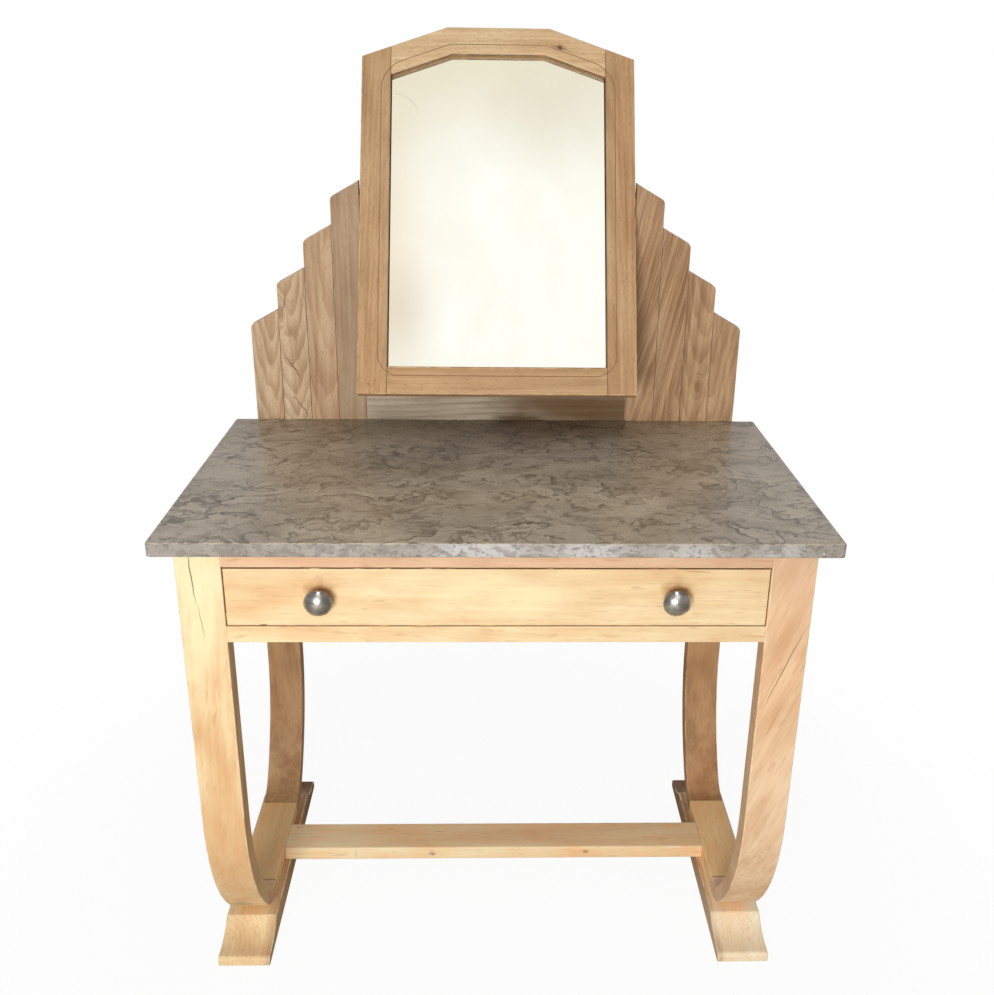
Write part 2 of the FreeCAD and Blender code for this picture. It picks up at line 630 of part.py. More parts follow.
apron_cuts = []
for name, side in SIDES:
    post_cuts = []
    batten_cuts = []
    post_x = f"({side})*({fan_inner} + board_width/2)"
    for number in range(BOARDS_PER_WING):
        from_inside = BOARDS_PER_WING - 1 - number
        inner = f"({side})*({fan_inner} + {from_inside}*board_width)"
        outer = f"({side})*({fan_inner} + {from_inside + 1}*board_width)"
        shoulder = f"({fan_foot} + {number}*fan_step_height)"
        corners = [(inner, "0"), (outer, "0"), (outer, shoulder), (inner, f"{shoulder} + fan_slope_rise")]
        label = f"fan_board_{name}_{number + 1}"
        board = panel(f"{label}_blank", "XZ_Plane", corners, "board_thickness")
        place(board, ("0", depth("marble_depth"), frame_top))
        board_cuts = []
        if from_inside:
            middle = f"({side})*({fan_inner} + {from_inside}*board_width + board_width/2)"
            brace_hole, board_hole = brace_screw(f"{name}_{number + 1}", middle, batten_level)
            batten_cuts.append(brace_hole)
            board_cuts.append(board_hole)
        else:
            for screw_number, share in enumerate(BOARD_SCREW_SHARES, start=1):
                level = f"{frame_top} + {share}*{post_rise}"
                brace_hole, board_hole = brace_screw(f"{name}_post_{screw_number}", post_x, level)
                post_cuts.append(brace_hole)
                board_cuts.append(board_hole)
            seat_length = "pin_seat_depth + overrun + joint_gap"
            seat_x = along_side(side, f"{fan_inner} - overrun", seat_length)
            seat_start = (seat_x, depth(pivot_depth), pivot_height)
            seat_width = "pin_diameter + 2*joint_gap"
            board_cuts.append(rod(f"pin_seat_{name}", seat_width, seat_length, seat_start, along_x))
        piece(label, cut(f"{label}_cut", board, board_cuts))

    # Post: holds the inner board and runs down behind the back apron.
    for screw_number, share in enumerate(APRON_SCREW_SHARES, start=1):
        level = f"{frame_top} - {share}*post_drop"
        brace_hole, board_hole = brace_screw(f"{name}_apron_{screw_number}", post_x, level)
        post_cuts.append(brace_hole)
        apron_cuts.append(board_hole)
    post_size = ("post_width", "brace_thickness", f"post_drop + {post_rise}")
    post_corner = (along_side(side, post_inner, "post_width"), depth(back_face), f"{frame_top} - post_drop")
    post = block(f"fan_post_{name}_blank", post_size, post_corner)
    piece(f"fan_post_{name}", cut(f"fan_post_{name}_cut", post, post_cuts))

    # Side batten: ties the other boards of the wing together.
    batten_inner = f"({post_inner} + post_width)"
    batten_run = f"({leg_outer} - fan_inset - batten_inset - {batten_inner})"
    batten_size = (batten_run, "brace_thickness", "batten_height")
    batten_corner = (along_side(side, batten_inner, batten_run), depth(back_face), batten_foot)
    batten = block(f"fan_batten_{name}_blank", batten_size, batten_corner)
    piece(f"fan_batten_{name}", cut(f"fan_batten_{name}_cut", batten, batten_cuts))
piece("back_apron", cut("back_apron_cut", back_apron, apron_cuts))

# Low centre rail between the wings, just under the swing of the mirror, with its batten between the posts.
swing_radius = f"sqrt(mirror_drop^2 + ({mirror_thickness}/2)^2)"
rail_height = f"{pivot_height} - {swing_radius} - mirror_swing_gap - {frame_top}"
rail_size = (f"2*{fan_inner}", "board_thickness", rail_height)
rail = block("centre_rail_blank", rail_size, (f"-{fan_inner}", depth("marble_depth"), frame_top))
batten_size = (f"2*{post_inner}", "brace_thickness", "batten_height")
batten = block("centre_batten_blank", batten_size, (f"-{post_inner}", depth(back_face), batten_foot))
batten_cuts = []
rail_cuts = []
for screw_number, share in enumerate(RAIL_SCREW_SHARES, start=1):
    brace_hole, board_hole = brace_screw(f"rail_{screw_number}", f"{share}*{fan_inner}", batten_level)
    batten_cuts.append(brace_hole)
    rail_cuts.append(board_hole)
piece("fan_centre_batten", cut("centre_batten_cut", batten, batten_cuts))
piece("fan_centre_rail", cut("centre_rail_cut", rail, rail_cuts))
piece("fan_screws", group("brace_screw_group", brace_screws))

# Swing mirror. Its pieces are drawn about the pivot, upright, and tilted back together.
facet_slope = f"(facet_rise/({mirror_half} - mirror_crown_width/2))"
facet_stretch = f"sqrt(1 + {facet_slope}^2)"
stile_inner = f"({mirror_half} - stile_width)"
stile_top = f"(mirror_shoulder + {facet_slope}*stile_width)"
front_level = f"(-{mirror_thickness}/2)"


def tilted(body):
    """Hangs a piece of the mirror on the pivot, at the tilt of the mirror."""
    turn = FreeCAD.Rotation(FreeCAD.Vector(-1, 0, 0), value("mirror_tilt"))
    body.Placement = FreeCAD.Placement(FreeCAD.Vector(), turn)
    body.setExpression("Placement.Rotation.Angle", bound("mirror_tilt"))
    return place(body, ("0", depth(pivot_depth), pivot_height))


def pane(margin):
    """The mirror's opening, grown by a margin: half width, foot, shoulder, half crown and crown."""
    half = f"({stile_inner} + {margin})"
    foot = f"(foot_rail_width - mirror_drop - ({margin}))"
    head = f"(head_rail_width - ({margin}))"
    shoulder = f"(mirror_shoulder + {facet_slope}*({mirror_half} - {half}) - {head}*{facet_stretch})"
    crown_half = f"(mirror_crown_width/2 - {head}*({facet_stretch} - 1)/{facet_slope})"
    return half, foot, shoulder, crown_half, f"({mirror_crown} - {head})"


def mirrored(right):
    """A closed outline from the corners of its right half, which run upwards."""
    return right + [(f"-{x}", y) for x, y in reversed(right)]


def pane_corners(margin):
    """The six corners of the opening."""
    half, foot, shoulder, crown_half, crown = pane(margin)
    return mirrored([(half, foot), (half, shoulder), (crown_half, crown)])


def rebate(name):
    """The hollow behind the lip of the frame."""
    run = f"{mirror_thickness} - mirror_lip + overrun"
    return tilted(panel(name, "XZ_Plane", pane_corners("rebate_width"), run, f"{front_level} + mirror_lip"))


def rail_tenon(name, side, foot, head, margin):
    """The tenon of a mirror rail, or with a margin the mortise in the stile."""
    near = f"({side})*({stile_inner} - {margin})"
    far = f"({side})*({stile_inner} + mirror_tenon_length + {margin})"
    low = f"{foot} - {margin}"
    high = f"{head} + {margin}"
    corners = [(near, low), (far, low), (far, high), (near, high)]
    thickness = f"tenon_thickness + 2*{margin}"
    return tilted(panel(name, "XZ_Plane", corners, thickness, f"-tenon_thickness/2 - {margin}"))


half, foot, shoulder, crown_half, crown = pane("0")
rail_outlines = {
    "head": mirrored([(stile_inner, stile_top), ("mirror_crown_width/2", mirror_crown)])
    + [(f"-{half}", shoulder), (f"-{crown_half}", crown), (crown_half, crown), (half, shoulder)],
    "foot": mirrored([(stile_inner, "-mirror_drop"), (stile_inner, foot)]),
}
half, foot, shoulder, crown_half, crown = pane("rebate_width")
head_tenon_top = f"{stile_top} - {facet_slope}*mirror_tenon_length - tenon_shoulder"
tenon_spans = {
    "head": (f"{shoulder} + tenon_shoulder", head_tenon_top),
    "foot": ("tenon_shoulder - mirror_drop", f"{foot} - tenon_shoulder"),
}
stile_cuts = {name: [rebate(f"rebate_{name}")] for name, side in SIDES}
for end, corners in rail_outlines.items():
    solids = [tilted(panel(f"mirror_{end}_rail_blank", "XZ_Plane", corners, mirror_thickness, front_level))]
    for name, side in SIDES:
        tag = f"{end}_{name}"
        solids.append(rail_tenon(f"mirror_tenon_{tag}", side, *tenon_spans[end], "0"))
        stile_cuts[name].append(rail_tenon(f"mirror_mortise_{tag}", side, *tenon_spans[end], "joint_gap"))
    rail = fuse(f"mirror_{end}_rail_joined", solids)
    piece(f"mirror_{end}_rail", cut(f"mirror_{end}_rail_cut", rail, [rebate(f"rebate_{end}")]))

bush_length = "pin_reach + pin_end_gap"
bush_diameter = "pin_diameter + 2*running_gap + 2*bush_wall"
for name, side in SIDES:
    corners = [
        (f"({side})*{mirror_half}", "-mirror_drop"),
        (f"({side})*{mirror_half}", "mirror_shoulder"),
        (f"({side})*{stile_inner}", stile_top),
        (f"({side})*{stile_inner}", "-mirror_drop"),
    ]
    label = f"mirror_stile_{name}"
    stile = tilted(panel(f"{label}_blank", "XZ_Plane", corners, mirror_thickness, front_level))
    socket_length = f"{bush_length} + joint_gap + overrun"
    socket_x = along_side(side, f"{mirror_half} - ({bush_length}) - joint_gap", socket_length)
    socket_start = (socket_x, depth(pivot_depth), pivot_height)
    socket_width = f"{bush_diameter} + 2*joint_gap"
    socket = rod(f"bush_socket_{name}", socket_width, socket_length, socket_start, along_x)
    piece(label, cut(f"{label}_cut", stile, stile_cuts[name] + [socket]))

# Glass and backing board in the rebate, and the strips that hold them in.
sheet_corners = pane_corners("rebate_width - glass_gap")
glass_level = f"({front_level} + mirror_lip)"
backing_level = f"({glass_level} + glass_thickness)"
strip_level = f"({backing_level} + backing_thickness)"
glass = panel("glass_pane", "XZ_Plane", sheet_corners, "glass_thickness", glass_level)
piece("mirror_glass", tilted(glass))
backing = panel("backing_board", "XZ_Plane", sheet_corners, "backing_thickness", backing_level)
piece("mirror_backing", tilted(backing))
strip_inner = f"({half} - strip_width)"
strip_top = f"({foot} + strip_width)"
strip_outlines = {"foot": mirrored([(half, foot), (half, strip_top)])}
for name, side in SIDES:
    near = f"({side})*{strip_inner}"
    far = f"({side})*{half}"
    strip_outlines[name] = [(near, strip_top), (far, strip_top), (far, shoulder), (near, shoulder)]
strips = []
for name, corners in strip_outlines.items():
    strip = panel(f"backing_strip_{name}", "XZ_Plane", corners, "strip_thickness", strip_level)
    strips.append(tilted(strip))
piece("backing_strips", group("backing_strip_group", strips))

# Pivots: a steel pin fast in each wing, a brass bush in each stile and a brass washer between them.
pin_length = "pin_seat_depth + mirror_side_gap + pin_reach"
washer_length = "mirror_side_gap - washer_gap"


def on_pivot(name, side, inner, diameter, length):
    """A round piece on the pivot axis, whose inner end is that far from the middle."""
    start = (along_side(side, inner, length), depth(pivot_depth), pivot_height)
    return rod(name, diameter, length, start, along_x)


def ring(label, side, inner, diameter, length, bore):
    """A ring on the pivot axis."""
    disc = on_pivot(f"{label}_disc", side, inner, diameter, length)
    eye = on_pivot(f"{label}_eye", side, f"{inner} - overrun", bore, f"{length} + 2*overrun")
    return cut(f"{label}_bored", disc, [eye])


for name, side in SIDES:
    pin = on_pivot(f"pin_{name}", side, f"{mirror_half} - pin_reach", "pin_diameter", pin_length)
    piece(f"pivot_pin_{name}", pin)
    label = f"pivot_bush_{name}"
    bush_inner = f"{mirror_half} - ({bush_length})"
    piece(label, ring(label, side, bush_inner, bush_diameter, bush_length, "pin_diameter + 2*running_gap"))
    label = f"pivot_washer_{name}"
    washer_inner = f"{mirror_half} + washer_gap"
    washer_diameter = "pin_diameter + 2*washer_rim"
    washer_bore = "pin_diameter + 2*joint_gap"
    piece(label, ring(label, side, washer_inner, washer_diameter, washer_length, washer_bore))

doc.recompute()
failed = [item.Name for item in doc.Objects if {"Invalid", "Error"} & set(item.State)]
failed += [label for label, item in pieces.items() if item.Shape.isNull() or not item.Shape.isValid()]
failed += [label for label, item in pieces.items() if not item.Shape.Solids]
if failed:
    raise RuntimeError(f"these did not build: {failed}")
os.makedirs("parts", exist_ok=True)
for label, item in pieces.items():
    item.Shape.exportStep(f"parts/{label}.step")
    print(f"{label}: {len(item.Shape.Solids)} solid")
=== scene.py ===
import json
import math

import bmesh
import bpy
from mathutils import Color, Euler, Matrix, Vector


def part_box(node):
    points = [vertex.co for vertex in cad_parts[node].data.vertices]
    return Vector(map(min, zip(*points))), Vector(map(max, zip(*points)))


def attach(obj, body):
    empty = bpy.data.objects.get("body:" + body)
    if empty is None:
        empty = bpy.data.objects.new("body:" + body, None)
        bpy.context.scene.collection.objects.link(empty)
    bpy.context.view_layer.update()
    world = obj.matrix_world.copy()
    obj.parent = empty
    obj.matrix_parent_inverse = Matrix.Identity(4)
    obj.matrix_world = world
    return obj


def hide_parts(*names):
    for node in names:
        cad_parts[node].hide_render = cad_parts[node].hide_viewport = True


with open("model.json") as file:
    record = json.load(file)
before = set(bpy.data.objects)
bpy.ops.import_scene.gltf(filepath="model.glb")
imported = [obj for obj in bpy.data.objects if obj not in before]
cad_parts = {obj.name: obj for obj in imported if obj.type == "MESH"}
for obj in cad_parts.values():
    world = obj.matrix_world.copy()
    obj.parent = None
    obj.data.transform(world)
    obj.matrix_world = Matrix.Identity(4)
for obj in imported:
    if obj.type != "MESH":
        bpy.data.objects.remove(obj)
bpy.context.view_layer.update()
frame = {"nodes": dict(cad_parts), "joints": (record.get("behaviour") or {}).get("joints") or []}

# Runner feet: two blocks of beech, coved at both tips, with every edge eased by hand.
# They lie on the floor and are screwed up into the sole bars from below. Their inner sides
# and their back tips are painted a darker brown, as shade.
RUNNER_ARRIS = 0.0018
WELD = 0.00001
NEAR = 0.0002
FLAT = math.radians(0.5)
CORNER = math.radians(35)
SMOOTH_LIMIT = math.radians(42)


def skin_of(node):
    """A CAD piece as one closed skin, with its flat faces whole."""
    shape = bmesh.new()
    shape.from_mesh(frame["nodes"][node].data)
    bmesh.ops.remove_doubles(shape, verts=shape.verts, dist=WELD)
    bmesh.ops.dissolve_limit(shape, angle_limit=FLAT, verts=shape.verts, edges=shape.edges)
    return shape


def ease(shape, arris, steps=3, mark=1, only=lambda edge: True):
    """Rounds outer corners of a piece. The new faces are marked as rubbed, 1, or darkened, -1: grime along
    joints, and painted shade along gaps and shaded edges.
    """
    corners = [edge for edge in shape.edges if edge.is_convex and edge.calc_face_angle(0) > CORNER]
    corners = [edge for edge in corners if only(edge)]
    made = bmesh.ops.bevel(
        shape, geom=corners, offset=arris, affect="EDGES", segments=steps, profile=0.5, material=-1
    )
    edge_marks = shape.loops.layers.float.get("edge_marks") or shape.loops.layers.float.new("edge_marks")
    for face in made["faces"]:
        for loop in face.loops:
            loop[edge_marks] = mark


def on_plane(axis, *places):
    """A test for the edges that lie in one of some planes, such as the shoulders of a joint."""
    def lies(edge):
        return any(all(abs(vert.co[axis] - place) < NEAR for vert in edge.verts) for place in places)

    return lies


def dress(node, shape, finish, body="table"):
    """Makes the shape a piece that stands for its CAD node."""
    mesh = bpy.data.meshes.new(f"{node}_finished")
    shape.to_mesh(mesh)
    shape.free()
    mesh.shade_smooth()
    mesh.set_sharp_from_angle(angle=SMOOTH_LIMIT)
    mesh.materials.append(finish)
    piece = bpy.data.objects.new(mesh.name, mesh)
    bpy.context.scene.collection.objects.link(piece)
    piece.modifiers.new("even_normals", "WEIGHTED_NORMAL").keep_sharp = True
    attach(piece, body)
    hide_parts(node)
    return piece


def tint(red, green, blue):
    """A colour as a paint card gives it, 0 to 255, made linear for the shaders."""
    return (*Color((red / 255, green / 255, blue / 255)).from_srgb_to_scene_linear(), 1)


def put(tree, kind, inputs, **settings):
    """Places a node, with a value or a link on each input."""
    node = tree.nodes.new(kind)
    for setting, value in settings.items():
        setattr(node, setting, value)
    for socket, value in inputs.items():
        if isinstance(value, bpy.types.NodeSocket):
            tree.links.new(value, node.inputs[socket])
        else:
            node.inputs[socket].default_value = value
    return node


def sum_of(tree, operation, *values):
    """One step of arithmetic."""
    return put(tree, "ShaderNodeMath", dict(enumerate(values)), operation=operation).outputs[0]


def fade(tree, value, low, high):
    """Rises smoothly from 0 at low to 1 at high."""
    limits = {"Value": value, "From Min": low, "From Max": high}
    return put(tree, "ShaderNodeMapRange", limits, interpolation_type="SMOOTHSTEP").outputs["Result"]


def mixed(tree, share, first, second, kind="MIX"):
    """Two colours mixed."""
    inputs = {0: share, 6: first, 7: second}
    return put(tree, "ShaderNodeMix", inputs, data_type="RGBA", blend_type=kind).outputs[2]


def cloud(tree, place, waves, detail=2):
    """Noise with so many waves to the metre along each axis: its value and its colour."""
    spread = put(tree, "ShaderNodeVectorMath", {0: place, 1: waves}, operation="MULTIPLY").outputs[0]
    return put(tree, "ShaderNodeTexNoise", {"Vector": spread, "Scale": 1, "Detail": detail}).outputs


NOISE_MIDDLE = 0.5


def swayed(tree, place, waves, reach):
    """A place pushed to and fro by noise, so that straight lines come out wavy."""
    push = cloud(tree, place, waves, 3)["Color"]
    middle = (NOISE_MIDDLE, NOISE_MIDDLE, NOISE_MIDDLE)
    push = put(tree, "ShaderNodeVectorMath", {0: push, 1: middle}, operation="SUBTRACT").outputs[0]
    push = put(tree, "ShaderNodeVectorMath", {0: push, "Scale": reach}, operation="SCALE").outputs[0]
    return put(tree, "ShaderNodeVectorMath", {0: place, 1: push}, operation="ADD").outputs[0]


def effect(name, inputs, outputs):
    """An empty shader group, its input sockets and its output sockets."""
    group = bpy.data.node_groups.new(name, "ShaderNodeTree")
    for way, sockets in (("INPUT", inputs), ("OUTPUT", outputs)):
        for socket, kind in sockets.items():
            group.interface.new_socket(socket, in_out=way, socket_type=f"NodeSocket{kind}")
    entry = group.nodes.new("NodeGroupInput").outputs
    result = group.nodes.new("NodeGroupOutput").inputs
    return group, entry, result


RING_SWAY = (2.6, 15, 15)
STREAK_WAVES = (4, 150, 150)
BLOTCH_WAVES = (11, 30, 30)
BLUSH_WAVES = (2.2, 9, 9)
PORE_WAVES = (120, 900, 900)
LATE_WOOD = (0.15, 0.88)
RING_END = (1.0, 0.9)
PORE_EDGE = (0.6, 0.74)
LATE_PORES = -0.6
BLUSH_EDGE = (0.4, 0.62)
KNOT_STRETCH = (0.45, 1, 1)
KNOT_PUSH = 0.018
KNOT_EDGE = (0.55, 0.95)
KNOT_TONE = 0.8
PLAIN_TONE = 0.32
PALE_ROUGHNESS = 0.5
TONE_ROUGHNESS = 0.16
LATE_RELIEF = -0.35
STREAK_RELIEF = 0.8


def sawn_timber():
    """Growth rings, streaks, blotches and pores of a board. X runs along the grain, from the heart."""
    numbers = ("Ring Width", "Lean", "Wander", "Rings", "Streaks", "Blotches", "Blushes")
    numbers += ("Pores", "Pore Density", "Knot Size")
    inputs = {"Place": "Vector", "Knot": "Vector", **{name: "Float" for name in numbers}}
    inputs.update({name: "Color" for name in ("Pale", "Deep", "Blush", "Pore Colour")})
    outputs = {"Color": "Color", "Roughness": "Float", "Height": "Float"}
    group, entry, result = effect("sawn_timber", inputs, outputs)
    place = entry["Place"]
    bent = swayed(group, place, RING_SWAY, entry["Wander"])
    along, across, through = put(group, "ShaderNodeSeparateXYZ", {0: bent}).outputs
    leaning = sum_of(group, "MULTIPLY_ADD", along, entry["Lean"], across)
    from_heart = put(group, "ShaderNodeCombineXYZ", {"Y": leaning, "Z": through}).outputs[0]
    radius = put(group, "ShaderNodeVectorMath", {0: from_heart}, operation="LENGTH").outputs["Value"]
    aside = put(group, "ShaderNodeVectorMath", {0: bent, 1: entry["Knot"]}, operation="SUBTRACT").outputs[0]
    aside = put(group, "ShaderNodeVectorMath", {0: aside, 1: KNOT_STRETCH}, operation="MULTIPLY").outputs[0]
    from_knot = put(group, "ShaderNodeVectorMath", {0: aside}, operation="LENGTH").outputs["Value"]
    swell = fade(group, from_knot, entry["Knot Size"], 0)
    radius = sum_of(group, "MULTIPLY_ADD", swell, KNOT_PUSH, radius)
    ring = sum_of(group, "FRACT", sum_of(group, "DIVIDE", radius, entry["Ring Width"]))
    late = sum_of(group, "MULTIPLY", fade(group, ring, *LATE_WOOD), fade(group, ring, *RING_END))
    streak = sum_of(group, "SUBTRACT", cloud(group, place, STREAK_WAVES, 4)["Fac"], NOISE_MIDDLE)
    blotch = sum_of(group, "SUBTRACT", cloud(group, place, BLOTCH_WAVES, 5)["Fac"], NOISE_MIDDLE)
    density = entry["Pore Density"]
    dense = put(group, "ShaderNodeVectorMath", {0: place, "Scale": density}, operation="SCALE").outputs[0]
    pore = fade(group, cloud(group, dense, PORE_WAVES, 1)["Fac"], *PORE_EDGE)
    early = sum_of(group, "MULTIPLY_ADD", late, LATE_PORES, 1.0)
    pores = sum_of(group, "MULTIPLY", sum_of(group, "MULTIPLY", pore, early), entry["Pores"])
    tone = sum_of(group, "MULTIPLY_ADD", late, entry["Rings"], PLAIN_TONE)
    tone = sum_of(group, "MULTIPLY_ADD", streak, entry["Streaks"], tone)
    tone = sum_of(group, "MULTIPLY_ADD", blotch, entry["Blotches"], tone)
    tone = sum_of(group, "MULTIPLY_ADD", fade(group, swell, *KNOT_EDGE), KNOT_TONE, tone)
    board = mixed(group, tone, entry["Pale"], entry["Deep"])
    flush = fade(group, cloud(group, place, BLUSH_WAVES, 2)["Fac"], *BLUSH_EDGE)
    flush = sum_of(group, "MULTIPLY", flush, entry["Blushes"])
    board = mixed(group, flush, board, entry["Blush"], "MULTIPLY")
    group.links.new(mixed(group, pores, board, entry["Pore Colour"]), result["Color"])
    roughness = sum_of(group, "MULTIPLY_ADD", tone, TONE_ROUGHNESS, PALE_ROUGHNESS)
    group.links.new(roughness, result["Roughness"])
    relief = sum_of(group, "MULTIPLY_ADD", late, LATE_RELIEF, 1.0)
    relief = sum_of(group, "MULTIPLY_ADD", streak, STREAK_RELIEF, relief)
    group.links.new(sum_of(group, "SUBTRACT", relief, pores), result["Height"])
    return group


WEAR_WAVES = (45, 45, 45)
RUBBED_PATCH = (0.36, 0.62)
DARKENED_PATCH = (0.2, 0.5)


def rubbed_and_darkened_edges():
    """Rubbed patches along the eased edges, and dark patches: grime along the joints, and painted shade
    along gaps and shaded edges.
    """
    sockets = {"Place": "Vector", "Color": "Color", "Rubbed": "Color", "Grime And Shade": "Color"}
    group, entry, result = effect("rubbed_and_darkened_edges", sockets, {"Color": "Color"})
    edge = put(group, "ShaderNodeAttribute", {}, attribute_name="edge_marks").outputs["Fac"]
    patch = cloud(group, entry["Place"], WEAR_WAVES, 3)["Fac"]
    rubbed = sum_of(group, "MULTIPLY", fade(group, edge, 0, 1), fade(group, patch, *RUBBED_PATCH))
    darkened = sum_of(group, "MULTIPLY", fade(group, edge, 0, -1), fade(group, patch, *DARKENED_PATCH))
    edge_marks = mixed(group, rubbed, entry["Color"], entry["Rubbed"])
    group.links.new(mixed(group, darkened, edge_marks, entry["Grime And Shade"]), result["Color"])
    return group


SAWN_TIMBER = sawn_timber()
RUBBED_AND_DARKENED_EDGES = rubbed_and_darkened_edges()
QUARTER_TURN = math.radians(90)
UNTURNED = (0, 0, 0)
GRAIN = {"x": UNTURNED, "y": (0, 0, QUARTER_TURN), "z": (0, -QUARTER_TURN, 0)}
BEECH = {
    "Ring Width": 0.0055,
    "Lean": 0.03,
    "Wander": 0.03,
    "Rings": 0.1,
    "Streaks": 0.7,
    "Blotches": 1.7,
    "Blushes": 0.8,
    "Pores": 0.35,
    "Pore Density": 0.3,
    "Pale": tint(250, 228, 182),
    "Deep": tint(228, 185, 136),
    "Blush": (0.97, 0.87, 0.8, 1),
    "Pore Colour": tint(190, 138, 90),
    "Rubbed": tint(250, 226, 184),
    "Grime And Shade": tint(140, 102, 66),
}
NO_KNOT = 0.001
KNOT_FAR_OFF = Vector((1, 1, 1))
GRAIN_DEPTH = 0.0005
GRAIN_STRENGTH = 0.25
TIMBER_SHINE = 0.35


def timber(name, node, stock, turn, heart, marks=(), knot=None, **changes):
    """A sawn board's material. The heart of its log passes that far from the middle of the piece."""
    values = {"Knot Size": NO_KNOT, **stock, **changes}
    finish = bpy.data.materials.new(name)
    finish.use_nodes = True
    tree = finish.node_tree
    low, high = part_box(node)
    origin = (low + high) / 2 + Vector(heart)
    place = put(tree, "ShaderNodeTexCoord", {}).outputs["Object"]
    mapping = {"Vector": place, "Location": origin, "Rotation": turn}
    grain = put(tree, "ShaderNodeMapping", mapping, vector_type="TEXTURE").outputs[0]
    board = put(tree, "ShaderNodeGroup", {}, node_tree=SAWN_TIMBER)
    tree.links.new(grain, board.inputs["Place"])
    for socket in board.inputs:
        if socket.name in values:
            socket.default_value = values[socket.name]
    knot = Vector(knot) if knot else high + KNOT_FAR_OFF
    board.inputs["Knot"].default_value = Euler(turn).to_matrix().transposed() @ (knot - origin)
    skin = board.outputs["Color"]
    for kind, mark_place, mark_turn, reach, shade, strength in marks:
        spot = {"Vector": place, "Location": mark_place, "Rotation": mark_turn, "Scale": reach}
        spot = put(tree, "ShaderNodeMapping", spot, vector_type="TEXTURE").outputs[0]
        mark = put(tree, "ShaderNodeGroup", {}, node_tree=kind)
        tree.links.new(spot, mark.inputs["Place"])
        mark.inputs["Strength"].default_value = strength
        skin = mixed(tree, mark.outputs["Share"], skin, shade)
    edges = put(tree, "ShaderNodeGroup", {}, node_tree=RUBBED_AND_DARKENED_EDGES)
    tree.links.new(place, edges.inputs["Place"])
    tree.links.new(skin, edges.inputs["Color"])
    edges.inputs["Rubbed"].default_value = values["Rubbed"]
    edges.inputs["Grime And Shade"].default_value = values["Grime And Shade"]
    relief = {"Strength": GRAIN_STRENGTH, "Distance": GRAIN_DEPTH, "Height": board.outputs["Height"]}
    bump = put(tree, "ShaderNodeBump", relief)
    shader = tree.nodes["Principled BSDF"]
    tree.links.new(edges.outputs["Color"], shader.inputs["Base Color"])
    tree.links.new(board.outputs["Roughness"], shader.inputs["Roughness"])
    tree.links.new(bump.outputs["Normal"], shader.inputs["Normal"])
    shader.inputs["Specular IOR Level"].default_value = TIMBER_SHINE
    return finish


MARK_INPUTS = {"Place": "Vector", "Strength": "Float"}
MARK_OUTPUTS = {"Share": "Float"}
RAG_WAVES = (1.5, 1.5, 1.5)
RAG_REACH = 1.4
SMUDGE_EDGE = (1, 0.2)


def old_smudge():
    """A soft, ragged patch within 1 of the middle."""
    group, entry, result = effect("old_smudge", MARK_INPUTS, MARK_OUTPUTS)
    rags = sum_of(group, "SUBTRACT", cloud(group, entry["Place"], RAG_WAVES, 4)["Fac"], NOISE_MIDDLE)
    span = put(group, "ShaderNodeVectorMath", {0: entry["Place"]}, operation="LENGTH").outputs["Value"]
    patch = fade(group, sum_of(group, "MULTIPLY_ADD", rags, RAG_REACH, span), *SMUDGE_EDGE)
    group.links.new(sum_of(group, "MULTIPLY", patch, entry["Strength"]), result["Share"])
    return group


SMUDGE = old_smudge()


def smudge(place, reach, shade, strength, turn=UNTURNED):
    """A stain on a board: its middle, its reach each way, its colour and how strong it is."""
    return SMUDGE, place, turn, reach, shade, strength


def on_side(place, side):
    """A place given for the right end of the table, or its mirror image at the left end."""
    across, deep, up = place
    return across * side, deep, up


SIDES = (("left", -1), ("right", 1))
LIGHT_BEECH = {**BEECH, "Blushes": 0.4, "Pale": tint(255, 246, 216), "Deep": tint(253, 218, 176)}
RUNNERS = {"left": BEECH, "right": LIGHT_BEECH}
RUNNER_HEART = (0.07, 0, -0.05)
INNER_SIDE_SHADE_BROWN = tint(186, 142, 104)
INNER_SIDE_SHADE_REACH = (0.016, 0.5, 0.06)
BACK_TIP_SHADE_BROWN = tint(138, 106, 74)
BACK_TIP_SHADE_REACH = (0.1, 0.16, 0.08)
for name, side in SIDES:
    node = f"runner_foot_{name}"
    shape = skin_of(node)
    ease(shape, RUNNER_ARRIS)
    low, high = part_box(node)
    inner_side = (high.x if side < 0 else low.x, 0, high.z / 2)
    back_tip = ((low.x + high.x) / 2, high.y, high.z / 2)
    # Painted shade: the inner side and the back tip of each runner are darkened.
    marks = (
        smudge(inner_side, INNER_SIDE_SHADE_REACH, INNER_SIDE_SHADE_BROWN, 0.8),
        smudge(back_tip, BACK_TIP_SHADE_REACH, BACK_TIP_SHADE_BROWN, 1),
    )
    heart = on_side(RUNNER_HEART, side)
    finish = timber(f"runner_beech_{name}", node, RUNNERS[name], GRAIN["y"], heart, marks, Rings=0.2)
    dress(node, shape, finish)

# Ends of the table: on each side two beech legs sweep down into a sole bar, which makes a U.
# The legs are sawn to their curve, butted to the sole bar and held by hidden dowels. The front
# legs have dried out and cracked along their grain, which is upright in one and slants in the other.
LEG_ARRIS = 0.0016
JOINT_ARRIS = 0.0006
SPLIT_SWAY = (1.6, 0, 0)
SPLIT_BEND = 14
SPLIT_EDGE = (0.3, -0.3)
SPLIT_TIP = (0, 0.15)
SPLIT_FLOOR = (1, 0.8)


